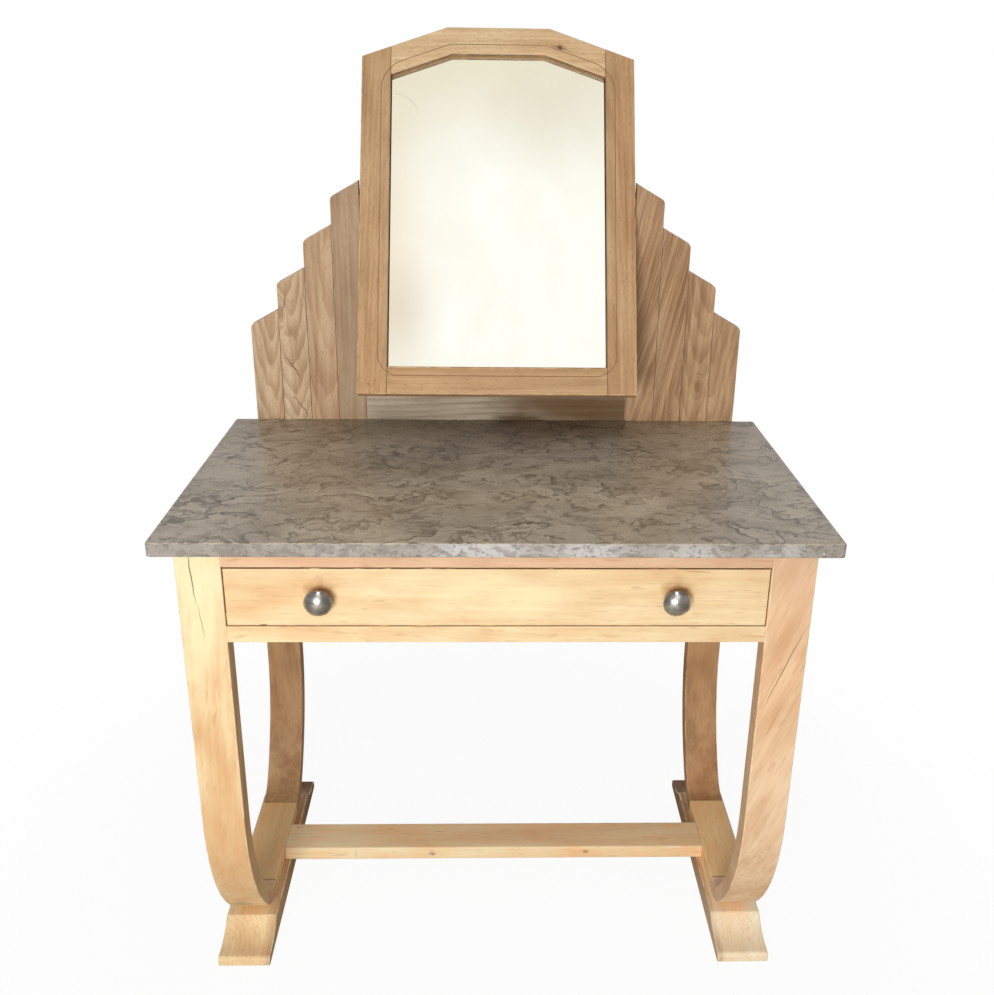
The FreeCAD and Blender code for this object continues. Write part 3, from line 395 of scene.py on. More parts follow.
def drying_split():
    """A dark crack that tapers to both ends, along X within 1 of the middle."""
    group, entry, result = effect("drying_split", MARK_INPUTS, MARK_OUTPUTS)
    along, deep, across = put(group, "ShaderNodeSeparateXYZ", {0: entry["Place"]}).outputs
    bend = sum_of(group, "SUBTRACT", cloud(group, entry["Place"], SPLIT_SWAY, 4)["Fac"], NOISE_MIDDLE)
    across = sum_of(group, "MULTIPLY_ADD", bend, SPLIT_BEND, across)
    taper = sum_of(group, "SUBTRACT", 1, sum_of(group, "MULTIPLY", along, along))
    line = fade(group, sum_of(group, "SUBTRACT", sum_of(group, "ABSOLUTE", across), taper), *SPLIT_EDGE)
    line = sum_of(group, "MULTIPLY", line, fade(group, taper, *SPLIT_TIP))
    line = sum_of(group, "MULTIPLY", line, fade(group, sum_of(group, "ABSOLUTE", deep), *SPLIT_FLOOR))
    group.links.new(sum_of(group, "MULTIPLY", line, entry["Strength"]), result["Share"])
    return group


SPLIT = drying_split()
SPLIT_BROWN = tint(104, 70, 42)


def split(place, lean, reach, strength, shade=SPLIT_BROWN, tilt=0):
    """A crack in a board: its middle, its lean from level, its half length, depth and half width."""
    return SPLIT, place, (tilt, lean, 0), reach, shade, strength


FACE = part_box("drawer_front")[0].y
BEND_FORWARD = 0.07
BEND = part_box("sole_bar_left")[0].y - BEND_FORWARD
UPRIGHT = -QUARTER_TURN
LEFT_SLANT = math.radians(3)
RIGHT_SLANT = math.radians(20)
BACK_LEFT_SLANT = math.radians(-4)
BACK_RIGHT_SLANT = math.radians(6)
# Painted shade: the back legs and side aprons take a darker copy of the beech that stands for the shade
# under the slab, and the right back leg takes a darker one still.
PAINTED_SHADE_BEECH = {
    **BEECH,
    "Pale": tint(214, 172, 126),
    "Deep": tint(180, 136, 94),
    "Rubbed": tint(222, 184, 140),
}
DEEP_PAINTED_SHADE_BEECH = {**PAINTED_SHADE_BEECH, "Pale": tint(198, 154, 110), "Deep": tint(166, 122, 82)}
ROSY_BEECH = {**BEECH, "Pale": tint(249, 217, 179), "Deep": tint(226, 184, 143)}
TAWNY_BEECH = {**BEECH, "Pale": tint(255, 224, 164), "Deep": tint(255, 197, 136)}
PALE_AND_LIGHT_POOL = tint(252, 240, 194)
TANNED = tint(222, 172, 120)
BLUSHED = tint(220, 176, 140)
LEFT_BEND_GREY = tint(176, 148, 116)
RIGHT_BEND_PALE = tint(226, 204, 176)
BEND_REACH = (0.035, 0.05, 0.02)
LEG_FIGURE = {"Lean": 0.05, "Streaks": 1.3, "Blotches": 2.6}
LEG_HEART = (0.11, 0.09, 0)
SOLE_HEART = (0.02, 0, -0.06)
DOWEL_HEART = (0, 0, -0.02)
LEFT_MARKS = (
    smudge((-0.4, FACE, 0.7), (0.06, 0.06, 0.2), PALE_AND_LIGHT_POOL, 0.75),
    smudge((-0.39, FACE, 0.22), (0.12, 0.09, 0.26), TANNED, 0.6),
    split((-0.399, FACE, 0.69), UPRIGHT - 0.05, (0.045, 0.02, 0.0008), 0.85),
    split((-0.392, FACE, 0.625), UPRIGHT - 0.1, (0.03, 0.02, 0.0005), 0.7),
    smudge((-0.4, BEND, 0.075), BEND_REACH, LEFT_BEND_GREY, 0.7),
)
RIGHT_MARKS = (
    smudge((0.4, FACE, 0.68), (0.07, 0.06, 0.14), BLUSHED, 0.45),
    split((0.392, FACE, 0.553), UPRIGHT + RIGHT_SLANT, (0.078, 0.02, 0.0007), 0.75),
    split((0.386, FACE, 0.47), UPRIGHT + RIGHT_SLANT, (0.05, 0.02, 0.0004), 0.5),
    smudge((0.4, BEND, 0.075), BEND_REACH, RIGHT_BEND_PALE, 0.7),
)
LEGS = {
    "front_leg_left": (BEECH, LEFT_SLANT, LEFT_MARKS),
    "front_leg_right": (ROSY_BEECH, RIGHT_SLANT, RIGHT_MARKS),
    "back_leg_left": (PAINTED_SHADE_BEECH, BACK_LEFT_SLANT, ()),
    "back_leg_right": (DEEP_PAINTED_SHADE_BEECH, BACK_RIGHT_SLANT, ()),
}
for name, side in SIDES:
    sole = f"sole_bar_{name}"
    low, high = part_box(sole)
    joints = on_plane(1, low.y, high.y)
    shape = skin_of(sole)
    ease(shape, JOINT_ARRIS, mark=-1, only=joints)
    ease(shape, LEG_ARRIS)
    heart = on_side(SOLE_HEART, side)
    finish = timber(f"sole_beech_{name}", sole, TAWNY_BEECH, GRAIN["y"], heart, Rings=0.2)
    dress(sole, shape, finish)
    for leg in (f"front_leg_{name}", f"back_leg_{name}"):
        stock, slant, marks = LEGS[leg]
        shape = skin_of(leg)
        ease(shape, JOINT_ARRIS, mark=-1, only=joints)
        # Painted shadow: the bottom edges of each leg, where it sits on its runner, are darkened as a
        # contact shadow.
        ease(shape, LEG_ARRIS, mark=-1, only=on_plane(2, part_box(leg)[0].z))
        ease(shape, LEG_ARRIS)
        turn = (0, UPRIGHT + slant, 0)
        heart = on_side(LEG_HEART, side)
        finish = timber(f"{leg}_beech", leg, stock, turn, heart, marks, **LEG_FIGURE)
        dress(leg, shape, finish)
shape = skin_of("sole_dowels")
ease(shape, JOINT_ARRIS, steps=1)
finish = timber("dowel_beech", "sole_dowels", BEECH, GRAIN["y"], DOWEL_HEART)
dress("sole_dowels", shape, finish)

# Stretcher: a flat beech bar on the inner ledges of the runner feet.
# It is tenoned into the sole bars, and its long edges are well rounded. Its top is painted darker, as shade.
STRETCHER_ARRIS = 0.003
PALE_BEECH = {**BEECH, "Pale": tint(255, 236, 192), "Deep": tint(254, 202, 150)}
STRETCHER_HEART = (0, 0.03, -0.07)
STRETCHER_LOW, STRETCHER_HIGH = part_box("stretcher")
STRETCHER_FACE = STRETCHER_LOW.y
TOP_OFFSET = Vector((0, 0.01, 0.018))
STRETCHER_TOP = (STRETCHER_LOW + STRETCHER_HIGH) / 2 + TOP_OFFSET
TOP_SHADE_BROWN = tint(216, 146, 82)
SPOT_BROWN = tint(150, 108, 68)
# Painted shade: the first mark darkens the top of the stretcher. The spots and the crack are the wood's own.
STRETCHER_MARKS = (
    smudge(STRETCHER_TOP, (0.6, 0.06, 0.014), TOP_SHADE_BROWN, 0.5),
    smudge((-0.107, STRETCHER_FACE, 0.047), (0.009, 0.01, 0.005), SPOT_BROWN, 0.7),
    smudge((0.157, STRETCHER_FACE, 0.05), (0.008, 0.01, 0.005), SPOT_BROWN, 0.7),
    split((-0.238, STRETCHER_FACE, 0.048), UPRIGHT, (0.012, 0.01, 0.0004), 0.6),
)
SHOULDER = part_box("front_leg_right")[0].x


def between_legs(edge):
    """A test for the edges of a rail that show between the legs, with its tenons left sharp."""
    return max(abs(vert.co.x) for vert in edge.verts) < SHOULDER + NEAR


shape = skin_of("stretcher")
ease(shape, STRETCHER_ARRIS, steps=4, only=between_legs)
finish = timber(
    "stretcher_beech", "stretcher", PALE_BEECH, GRAIN["x"], STRETCHER_HEART, STRETCHER_MARKS, Lean=0.02
)
dress("stretcher", shape, finish)

# Rails and aprons: beech boards between the legs, tenoned into them.
# Two narrow rails frame the drawer in front, and plain aprons close the sides and the back.
RAIL_ARRIS = 0.001
RAIL_HEART = (0, 0.08, 0.03)
APRON_HEART = (0.09, 0, 0.02)
# Painted shade: the top rail and the back apron take a darker, redder beech. Its darkness stands for the
# shade under the slab's overhang.
REDDISH_PAINTED_SHADE_BEECH = {**BEECH, "Pale": tint(238, 201, 166), "Deep": tint(212, 167, 130)}
for node in ("front_top_rail", "front_bottom_rail", "back_apron"):
    shape = skin_of(node)
    ease(shape, RAIL_ARRIS, only=between_legs)
    stock = BEECH if node == "front_bottom_rail" else REDDISH_PAINTED_SHADE_BEECH
    finish = timber(f"{node}_beech", node, stock, GRAIN["x"], RAIL_HEART, Lean=0.02)
    dress(node, shape, finish)
for name, side in SIDES:
    node = f"side_apron_{name}"
    shape = skin_of(node)
    ease(shape, RAIL_ARRIS, steps=2)
    heart = on_side(APRON_HEART, side)
    finish = timber(f"{node}_beech", node, PAINTED_SHADE_BEECH, GRAIN["y"], heart, Rings=0.25)
    dress(node, shape, finish)

# Drawer carriers: plain poplar bars inside the frame that carry, guide and hold down the drawer.
# Two small blocks on the rail below stop the drawer front flush with the legs.
CARRIER_ARRIS = 0.0008
CARRIER_HEART = (0.05, 0.02, -0.05)
POPLAR = {
    **BEECH,
    "Ring Width": 0.005,
    "Rings": 0.3,
    "Pale": tint(233, 208, 164),
    "Deep": tint(203, 170, 120),
    "Pore Colour": tint(170, 134, 90),
    "Rubbed": tint(238, 216, 178),
}
carriers = [f"drawer_{kind}_{name}" for kind in ("runner", "guide", "kicker") for name, side in SIDES]
for node in carriers + ["drawer_stops"]:
    shape = skin_of(node)
    ease(shape, CARRIER_ARRIS, steps=2)
    turn = GRAIN["x" if node == "drawer_stops" else "y"]
    dress(node, shape, timber(f"{node}_poplar", node, POPLAR, turn, CARRIER_HEART))

# Drawer box: thin poplar boards, with the bottom slid into grooves from behind.
# The front is a thick beech board, flush with the legs, with a brown patch round and just above each knob.
BOX_HEART = (0.06, 0.03, 0.05)
for node, along in (
    ("drawer_side_left", "y"),
    ("drawer_side_right", "y"),
    ("drawer_back", "x"),
    ("drawer_bottom", "y"),
):
    shape = skin_of(node)
    ease(shape, CARRIER_ARRIS, steps=2)
    finish = timber(f"{node}_poplar", node, POPLAR, GRAIN[along], BOX_HEART, Lean=0.04)
    dress(node, shape, finish, "drawer")
FRONT_ARRIS = 0.0012
FRONT_HEART = (0, 0.12, 0.03)
GAP_SHADE_BEECH = {**BEECH, "Lean": 0.02, "Grime And Shade": tint(112, 78, 46)}
KNOB_PATCH_BROWN = tint(196, 146, 98)
KNOB_PATCH_REACH = (0.028, 0.02, 0.028)
FRONT_MARKS = (
    smudge((-0.2325, FACE, 0.6635), KNOB_PATCH_REACH, KNOB_PATCH_BROWN, 1),
    smudge((0.2375, FACE, 0.6645), KNOB_PATCH_REACH, KNOB_PATCH_BROWN, 1),
    # Painted light: a pale pool across the middle of the front.
    smudge((0, FACE, 0.665), (0.17, 0.02, 0.06), PALE_AND_LIGHT_POOL, 0.4),
    smudge((-0.31, FACE, 0.6185), (0.007, 0.02, 0.002), SPLIT_BROWN, 0.8),
    split((0.262, FACE, 0.6975), 0.05, (0.02, 0.02, 0.0005), 0.6),
)
shape = skin_of("drawer_front")
# Painted shade: all the eased edges of the front are darkened, standing for the shade in the gaps round the
# drawer.
ease(shape, FRONT_ARRIS, mark=-1)
finish = timber(
    "drawer_front_beech", "drawer_front", GAP_SHADE_BEECH, GRAIN["x"], FRONT_HEART, FRONT_MARKS
)
dress("drawer_front", shape, finish, "drawer")

# Knobs: turned pewter mushrooms, dulled and finely rubbed, each held by a steel screw
# that comes through the drawer front from inside.
KNOB_ROUNDING = 0.0006
TARNISH_WAVES = (70, 70, 70)
TARNISH_EDGE = (0.35, 0.68)
RUBBING_WAVES = (900, 900, 260)
RUBBING_ROUGHNESS = 0.1
RUBBING_STRENGTH = 0.12
RUBBING_DEPTH = 0.0004


def metal(name, pale, deep, smooth, rough):
    """A dulled metal: tarnish in clouds and fine rubbing marks."""
    finish = bpy.data.materials.new(name)
    finish.use_nodes = True
    tree = finish.node_tree
    place = put(tree, "ShaderNodeTexCoord", {}).outputs["Object"]
    tarnish = fade(tree, cloud(tree, place, TARNISH_WAVES, 4)["Fac"], *TARNISH_EDGE)
    rubbing = cloud(tree, place, RUBBING_WAVES, 2)["Fac"]
    shader = tree.nodes["Principled BSDF"]
    tree.links.new(mixed(tree, tarnish, pale, deep), shader.inputs["Base Color"])
    gloss = sum_of(tree, "MULTIPLY_ADD", tarnish, rough - smooth, smooth)
    gloss = sum_of(tree, "MULTIPLY_ADD", rubbing, RUBBING_ROUGHNESS, gloss)
    tree.links.new(gloss, shader.inputs["Roughness"])
    relief = {"Strength": RUBBING_STRENGTH, "Distance": RUBBING_DEPTH, "Height": rubbing}
    bump = put(tree, "ShaderNodeBump", relief)
    tree.links.new(bump.outputs["Normal"], shader.inputs["Normal"])
    shader.inputs["Metallic"].default_value = 1
    return finish


pewter = metal("dulled_pewter", tint(228, 226, 222), tint(168, 164, 159), 0.15, 0.28)
for name, side in SIDES:
    node = f"drawer_knob_{name}"
    shape = skin_of(node)
    ease(shape, KNOB_ROUNDING)
    dress(node, shape, pewter, "drawer")

# Marble slab: a taupe limestone marble, polished on top, with chalky sawn edges and soft arrises.
# It lies loose on the frame, held by its own weight.
SLAB_CORNER = 0.004
SLAB_ARRIS = 0.002
low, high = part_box("marble_top")
shape = bmesh.new()
bmesh.ops.create_cube(shape, size=1)
bmesh.ops.scale(shape, vec=high - low, verts=shape.verts)
bmesh.ops.translate(shape, vec=(low + high) / 2, verts=shape.verts)
uprights = [edge for edge in shape.edges if abs(edge.verts[0].co.z - edge.verts[1].co.z) > WELD]
bmesh.ops.bevel(
    shape, geom=uprights, offset=SLAB_CORNER, affect="EDGES", segments=4, profile=0.5, material=-1
)
ease(shape, SLAB_ARRIS)

MARBLE_SWAY = (14, 14, 14)
MARBLE_SWAY_REACH = 0.05
MARBLE_TAUPE = tint(231, 215, 191)
# For each size of shelf: waves of its drift, shelves in a wave, waves of its breaks, where its rim
# begins, and the colour and strength of the rim.
SHELVES = (
    ((4.5, 6, 6), 9, (8, 10, 10), 0.79, tint(104, 88, 69), 1),
    ((11, 15, 15), 5, (13, 16, 16), 0.78, tint(112, 94, 74), 0.9),
    ((24, 34, 34), 4, (22, 26, 26), 0.7, tint(126, 108, 87), 0.75),
)
SHELF_BREAK = (0.36, 0.62)
RIM_PEAK = 0.97
SLOPE_TAUPE = tint(160, 144, 121)
SLOPE_SHARE = 0.42
LENS_CREAM = tint(230, 216, 193)
LENS_EDGE = (0.4, 0)
LENS_SHARE = 0.5


def shelved(tree, place, warped):
    """The body of the marble: soft shelves of three sizes with pale hollows and thin dark rims."""
    body = MARBLE_TAUPE
    for waves, shelves, breaks, rim_start, shade, strength in SHELVES:
        drift = cloud(tree, warped, waves, 4)["Fac"]
        shelf = sum_of(tree, "FRACT", sum_of(tree, "MULTIPLY", drift, shelves))
        shown = fade(tree, cloud(tree, place, breaks, 3)["Fac"], *SHELF_BREAK)
        rise = fade(tree, shelf, rim_start, RIM_PEAK)
        fall = fade(tree, shelf, 1.0, RIM_PEAK)
        rim = sum_of(tree, "MULTIPLY", sum_of(tree, "MULTIPLY", rise, fall), shown)
        rim = sum_of(tree, "MULTIPLY", rim, strength)
        slope = sum_of(tree, "MULTIPLY", sum_of(tree, "MULTIPLY", shelf, shown), SLOPE_SHARE)
        lens = sum_of(tree, "MULTIPLY", fade(tree, shelf, *LENS_EDGE), shown)
        lens = sum_of(tree, "MULTIPLY", lens, LENS_SHARE)
        body = mixed(tree, slope, body, SLOPE_TAUPE)
        body = mixed(tree, lens, body, LENS_CREAM)
        body = mixed(tree, rim, body, shade)
    return body


SAWN_FACING = (0.8, 0.2)
MOTTLE_WAVES = (60, 60, 110)
CHALK_EDGE = (0.12, 0.36)
CHALK_SHARE = 0.9
CHALK_DULL = tint(160, 153, 146)
CHALK_BRIGHT = tint(198, 196, 195)
STRETCH_WAVES = (6, 6, 6)
STRETCH_EDGE = (0.4, 0.6)
BRUISE_EDGE = (0.48, 0.6)
BRUISE_SHARE = 0.6
BRUISE_BROWN = tint(132, 124, 116)
GRIT_WAVES = (190, 190, 260)
GRIT_EDGE = (0.54, 0.7)
GRIT_SHARE = 0.7
GRIT_BROWN = tint(112, 104, 97)


def sawn_edge(tree, place, warped, body):
    """Chalk in bright and dull stretches, bruises and grit on all faces but the top. Gives the chalk too."""
    facing = put(tree, "ShaderNodeNewGeometry", {}).outputs["Normal"]
    upwards = put(tree, "ShaderNodeSeparateXYZ", {0: facing}).outputs["Z"]
    sawn = fade(tree, upwards, *SAWN_FACING)
    mottle = cloud(tree, warped, MOTTLE_WAVES, 5)["Fac"]
    stretch = fade(tree, cloud(tree, place, STRETCH_WAVES, 1)["Fac"], *STRETCH_EDGE)
    shade = mixed(tree, stretch, CHALK_DULL, CHALK_BRIGHT)
    chalk = sum_of(tree, "MULTIPLY", sawn, fade(tree, mottle, *CHALK_EDGE))
    body = mixed(tree, sum_of(tree, "MULTIPLY", chalk, CHALK_SHARE), body, shade)
    bruise = sum_of(tree, "MULTIPLY", sawn, fade(tree, mottle, *BRUISE_EDGE))
    body = mixed(tree, sum_of(tree, "MULTIPLY", bruise, BRUISE_SHARE), body, BRUISE_BROWN)
    grit = fade(tree, cloud(tree, place, GRIT_WAVES, 3)["Fac"], *GRIT_EDGE)
    grit = sum_of(tree, "MULTIPLY", sawn, grit)
    body = mixed(tree, sum_of(tree, "MULTIPLY", grit, GRIT_SHARE), body, GRIT_BROWN)
    return body, chalk


SPECK_CELLS = 60
# For white specks and dark pits: waves of where they lie, how rare they are, their rim and their colour.
SPECKS = (
    ((40, 40, 40), (0.62, 0.68), (0.13, 0.05), tint(226, 219, 208)),
    ((31, 31, 31), (0.65, 0.7), (0.12, 0.06), tint(66, 56, 46)),
)


def specked(tree, place, body):
    """A few white specks and dark pits, all over."""
    cells = put(tree, "ShaderNodeTexVoronoi", {"Vector": place, "Scale": SPECK_CELLS}).outputs["Distance"]
    for waves, rarity, rim, shade in SPECKS:
        rare = fade(tree, cloud(tree, place, waves, 2)["Fac"], *rarity)
        speck = sum_of(tree, "MULTIPLY", fade(tree, cells, *rim), rare)
        body = mixed(tree, speck, body, shade)
    return body


MIST_WAVES = (6, 8, 8)
MIST_EDGE = (0.35, 0.68)
MIST_SHARE = 0.45
MIST_TAUPE = tint(168, 151, 127)
FINE_WAVES = (90, 130, 130)
FLECK_EDGE = (0.5, 0.75)
FLECK_SHARE = 0.3
FLECK_BROWN = tint(144, 126, 104)
BACK_SHADE_MIDDLE = (0, high.y, high.z)
BACK_SHADE_REACH = (0.56, 0.32, 0.4)
BACK_SHADE_EDGE = (1, 0.1)
BACK_SHADE_BROWN = (0.26, 0.25, 0.23, 1)
POLISH = 0.18
FINE_ROUGHNESS = 0.2
CHALK_ROUGHNESS = 0.25
POLISH_RELIEF = {"Strength": 0.06, "Distance": 0.0004}


def veined_marble():
    """Shelves, mist and flecks under a polish, painted shade darkening the back, specks and chalky sawn
    edges.
    """
    finish = bpy.data.materials.new("taupe_marble")
    finish.use_nodes = True
    tree = finish.node_tree
    place = put(tree, "ShaderNodeTexCoord", {}).outputs["Object"]
    warped = swayed(tree, place, MARBLE_SWAY, MARBLE_SWAY_REACH)
    body = shelved(tree, place, warped)
    mist = fade(tree, cloud(tree, place, MIST_WAVES, 3)["Fac"], *MIST_EDGE)
    body = mixed(tree, sum_of(tree, "MULTIPLY", mist, MIST_SHARE), body, MIST_TAUPE)
    fine = cloud(tree, warped, FINE_WAVES, 4)["Fac"]
    fleck = sum_of(tree, "MULTIPLY", fade(tree, fine, *FLECK_EDGE), FLECK_SHARE)
    body = mixed(tree, fleck, body, FLECK_BROWN)
    # Painted shade: the slab is darkened towards the back, under the fan and the mirror.
    spot = {"Vector": warped, "Location": BACK_SHADE_MIDDLE, "Scale": BACK_SHADE_REACH}
    spot = put(tree, "ShaderNodeMapping", spot, vector_type="TEXTURE").outputs[0]
    span = put(tree, "ShaderNodeVectorMath", {0: spot}, operation="LENGTH").outputs["Value"]
    body = mixed(tree, fade(tree, span, *BACK_SHADE_EDGE), body, BACK_SHADE_BROWN, "MULTIPLY")
    body, chalk = sawn_edge(tree, place, warped, body)
    body = specked(tree, place, body)
    shader = tree.nodes["Principled BSDF"]
    tree.links.new(body, shader.inputs["Base Color"])
    roughness = sum_of(tree, "MULTIPLY_ADD", fine, FINE_ROUGHNESS, POLISH)
    roughness = sum_of(tree, "MULTIPLY_ADD", chalk, CHALK_ROUGHNESS, roughness)
    tree.links.new(roughness, shader.inputs["Roughness"])
    bump = put(tree, "ShaderNodeBump", {**POLISH_RELIEF, "Height": fine})
    tree.links.new(bump.outputs["Normal"], shader.inputs["Normal"])
    return finish


dress("marble_top", shape, veined_marble())

# Fan: two wings of four oak boards with slanted tops, stepped up towards the mirror.
# They stand edge to edge behind the marble, with eased edges that leave a fine groove between them.
BOARD_ARRIS = 0.001
BOARD_GRIME = -0.7
SHOULDER_ROUNDING = 0.005
SHOULDER_STEPS = 5
OAK = {
    **BEECH,
    "Ring Width": 0.0052,
    "Wander": 0.03,
    "Rings": 0.36,
    "Streaks": 1.5,
    "Blotches": 1.2,
    "Blushes": 0.6,
    "Pores": 0.6,
    "Pore Density": 1,
    "Pale": tint(209, 181, 146),
    "Deep": tint(170, 137, 104),
    "Pore Colour": tint(140, 106, 76),
    "Rubbed": tint(226, 196, 160),
    "Grime And Shade": tint(110, 80, 54),
}
PALE_OAK = {**OAK, "Pale": tint(222, 197, 165), "Deep": tint(178, 149, 117)}
GREY_OAK = {**OAK, "Pale": tint(188, 161, 130), "Deep": tint(156, 127, 98), "Rings": 0.25}
BROWN_OAK = {**OAK, "Pale": tint(200, 164, 126), "Deep": tint(150, 113, 79)}
TAWNY_OAK = {**OAK, "Pale": tint(208, 176, 138), "Deep": tint(158, 123, 88)}
BOARD_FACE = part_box("fan_centre_rail")[0].y
KNOT_BROWN = tint(134, 100, 70)
SWIRL_MARKS = (
    split((-0.343, BOARD_FACE, 0.842), math.radians(58), (0.026, 0.02, 0.0016), 0.8, KNOT_BROWN),
    split((-0.332, BOARD_FACE, 0.772), math.radians(57), (0.026, 0.02, 0.0014), 0.7, KNOT_BROWN),
    split((-0.351, BOARD_FACE, 0.952), math.radians(103), (0.019, 0.02, 0.0014), 0.7, KNOT_BROWN),
)
LEFT_KNOT = {"knot": (-0.358, BOARD_FACE, 0.936), "Knot Size": 0.018, "marks": SWIRL_MARKS}
RIGHT_KNOT = {"knot": (0.345, BOARD_FACE, 0.813), "Knot Size": 0.013}
# For each board: its oak, the slant of its grain in degrees, the heart of its log and its figure.
BOARDS = {
    "left_1": (PALE_OAK, 2, (0.012, 0.045, 0.02), {"Lean": 0.1, "Rings": 0.55, "Wander": 0.045}),
    "left_2": (PALE_OAK, -3, (-0.01, 0.03, 0.08), {"Lean": 0.14, "Rings": 0.55, **LEFT_KNOT}),
    "left_3": (OAK, 3, (0.02, 0.05, 0.05), {"Lean": 0.07}),
    "left_4": (GREY_OAK, 1, (0.05, 0.1, 0), {"Lean": 0.03}),
    "right_1": (TAWNY_OAK, -2, (-0.015, 0.06, 0), {"Lean": 0.09}),
    "right_2": (TAWNY_OAK, 3, (0.01, 0.035, 0.06), {"Lean": 0.12, "Streaks": 2.2, **RIGHT_KNOT}),
    "right_3": (BROWN_OAK, 12, (0.06, 0.07, 0), {"Lean": 0.05, "Ring Width": 0.0034, "Streaks": 2.2}),
    "right_4": (BROWN_OAK, 14, (0.06, 0.09, 0), {"Lean": 0.04, "Ring Width": 0.0034, "Streaks": 2}),
}
for name, side in SIDES:
    for number in range(1, 5):
        node = f"fan_board_{name}_{number}"
        low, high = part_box(node)
        outer, near = (high.x, low.x) if side > 0 else (low.x, high.x)
        shape = skin_of(node)
        on_outer = on_plane(0, outer)
        shoulder = [
            edge
            for edge in shape.edges
            if on_outer(edge)
            and abs(edge.verts[0].co.y - edge.verts[1].co.y) > NEAR
            and edge.verts[0].co.z > low.z + SHOULDER_ROUNDING
        ]
        bmesh.ops.bevel(
            shape,
            geom=shoulder,
            offset=SHOULDER_ROUNDING,
            affect="EDGES",
            segments=SHOULDER_STEPS,
            profile=0.5,
            material=-1,
        )
        ease(shape, BOARD_ARRIS, mark=BOARD_GRIME, only=on_plane(0, near))
        ease(shape, BOARD_ARRIS)
        stock, slant, heart, changes = BOARDS[f"{name}_{number}"]
        turn = (0, UPRIGHT + math.radians(slant), 0)
        dress(node, shape, timber(f"{node}_oak", node, stock, turn, heart, **changes))

# Centre rail of the fan: a low oak board between the wings, greyed and stained by water. The brown over its
# right half is partly that stain and partly painted shade.
# It stops just under the swing of the mirror.
CENTRE_ARRIS = 0.001
CENTRE_HEART = (0, 0.05, -0.06)
WEATHERED_OAK = {
    **OAK,
    "Ring Width": 0.009,
    "Pale": tint(194, 181, 159),
    "Deep": tint(150, 134, 111),
    "Blushes": 0,
    "Pore Colour": tint(120, 102, 80),
}
CENTRE_MARKS = (
    # Painted shade in part: this brown over the right half is partly a stain and partly shade.
    smudge((0.16, BOARD_FACE, 0.765), (0.22, 0.03, 0.08), tint(98, 64, 10), 0.85),
    smudge((0.04, BOARD_FACE, 0.752), (0.06, 0.03, 0.012), tint(86, 58, 34), 0.85),
)
shape = skin_of("fan_centre_rail")
ease(shape, CENTRE_ARRIS)
finish = timber(
    "weathered_oak", "fan_centre_rail", WEATHERED_OAK, GRAIN["x"], CENTRE_HEART, CENTRE_MARKS
)
dress("fan_centre_rail", shape, finish)

# Braces: rough pine posts and battens that hold the fan together from behind.
# The posts run down behind the back apron, and everything is screwed from the back.
BRACE_ARRIS = 0.0012
BRACE_HEART = (0.03, 0.05, 0.03)
PINE = {
    **BEECH,
    "Ring Width": 0.0045,
    "Rings": 0.6,
    "Pale": tint(228, 192, 140),
    "Deep": tint(184, 138, 86),
    "Pore Colour": tint(150, 108, 66),
    "Rubbed": tint(232, 202, 156),
}
for node, along in (
    ("fan_post_left", "z"),
    ("fan_post_right", "z"),
    ("fan_batten_left", "x"),
    ("fan_batten_right", "x"),
    ("fan_centre_batten", "x"),
):
    shape = skin_of(node)
    ease(shape, BRACE_ARRIS, steps=2)
    finish = timber(f"{node}_pine", node, PINE, GRAIN[along], BRACE_HEART, Lean=0.05)
    dress(node, shape, finish)

# Screws: plain steel, one group for each job. They are driven into the runner feet from below,
# into the fan from behind and into the knobs from inside the drawer.
SCREW_ARRIS = 0.0003
steel = metal("bright_steel", tint(176, 176, 178), tint(120, 118, 116), 0.28, 0.45)
for node, body in (("runner_screws", "table"), ("fan_screws", "table"), ("knob_screws", "drawer")):
    shape = skin_of(node)
    ease(shape, SCREW_ARRIS, steps=1)
    dress(node, shape, steel, body)

# Mirror frame: two oak stiles with a clipped head rail and a foot rail tenoned between them.
# A fine line is scored all round, a finger's breadth outside the glass, and turns the corners in an arc.
TILT = math.radians(25.6)
SWING = next(joint for joint in frame["joints"] if joint["name"] == "mirror_swing")
PIVOT = Vector(SWING["pos_m"])
FRAME_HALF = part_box("mirror_stile_right")[1].x
FRAME_DROP = 0.317
FRAME_SHOULDER = 0.234
FRAME_CROWN = 0.2844
CROWN_HALF = 0.0828
FRAME_THICKNESS = 0.022
STILE = 0.047
SIGHT_HALF = FRAME_HALF - STILE
FOOT_RAIL = 0.0445
HEAD_RAIL = 0.044
FRAME_ARRIS = 0.0015
STILE_ARRIS = 0.001
SIGHT_ARRIS = 0.003
JOINT_GRIME = -0.4
LIP_SHADE = -0.8
LINE_MARGIN = 0.015
LINE_RADIUS = 0.0007
LINE_TURN = 0.034
LINE_TURN_STEPS = 10


def opening(margin):
    """The right half of the glass opening, moved outwards by a margin, from the foot to the crown."""
    slope = (FRAME_CROWN - FRAME_SHOULDER) / (FRAME_HALF - CROWN_HALF)
    stretch = math.hypot(1, slope)
    half = SIGHT_HALF + margin
    head = HEAD_RAIL - margin
    shoulder = FRAME_SHOULDER + slope * (FRAME_HALF - half) - head * stretch
    crown_half = CROWN_HALF - head * (stretch - 1) / slope
    return (half, FOOT_RAIL - FRAME_DROP - margin), (half, shoulder), (crown_half, FRAME_CROWN - head)


def on_frame(across, up, out):
    """A point of the mirror, given across the frame, up along it and out from its middle plane."""
    upward = Vector((0, math.sin(TILT), math.cos(TILT)))
    outward = Vector((0, -math.cos(TILT), math.sin(TILT)))
    return PIVOT + Vector((across, 0, 0)) + upward * up + outward * out


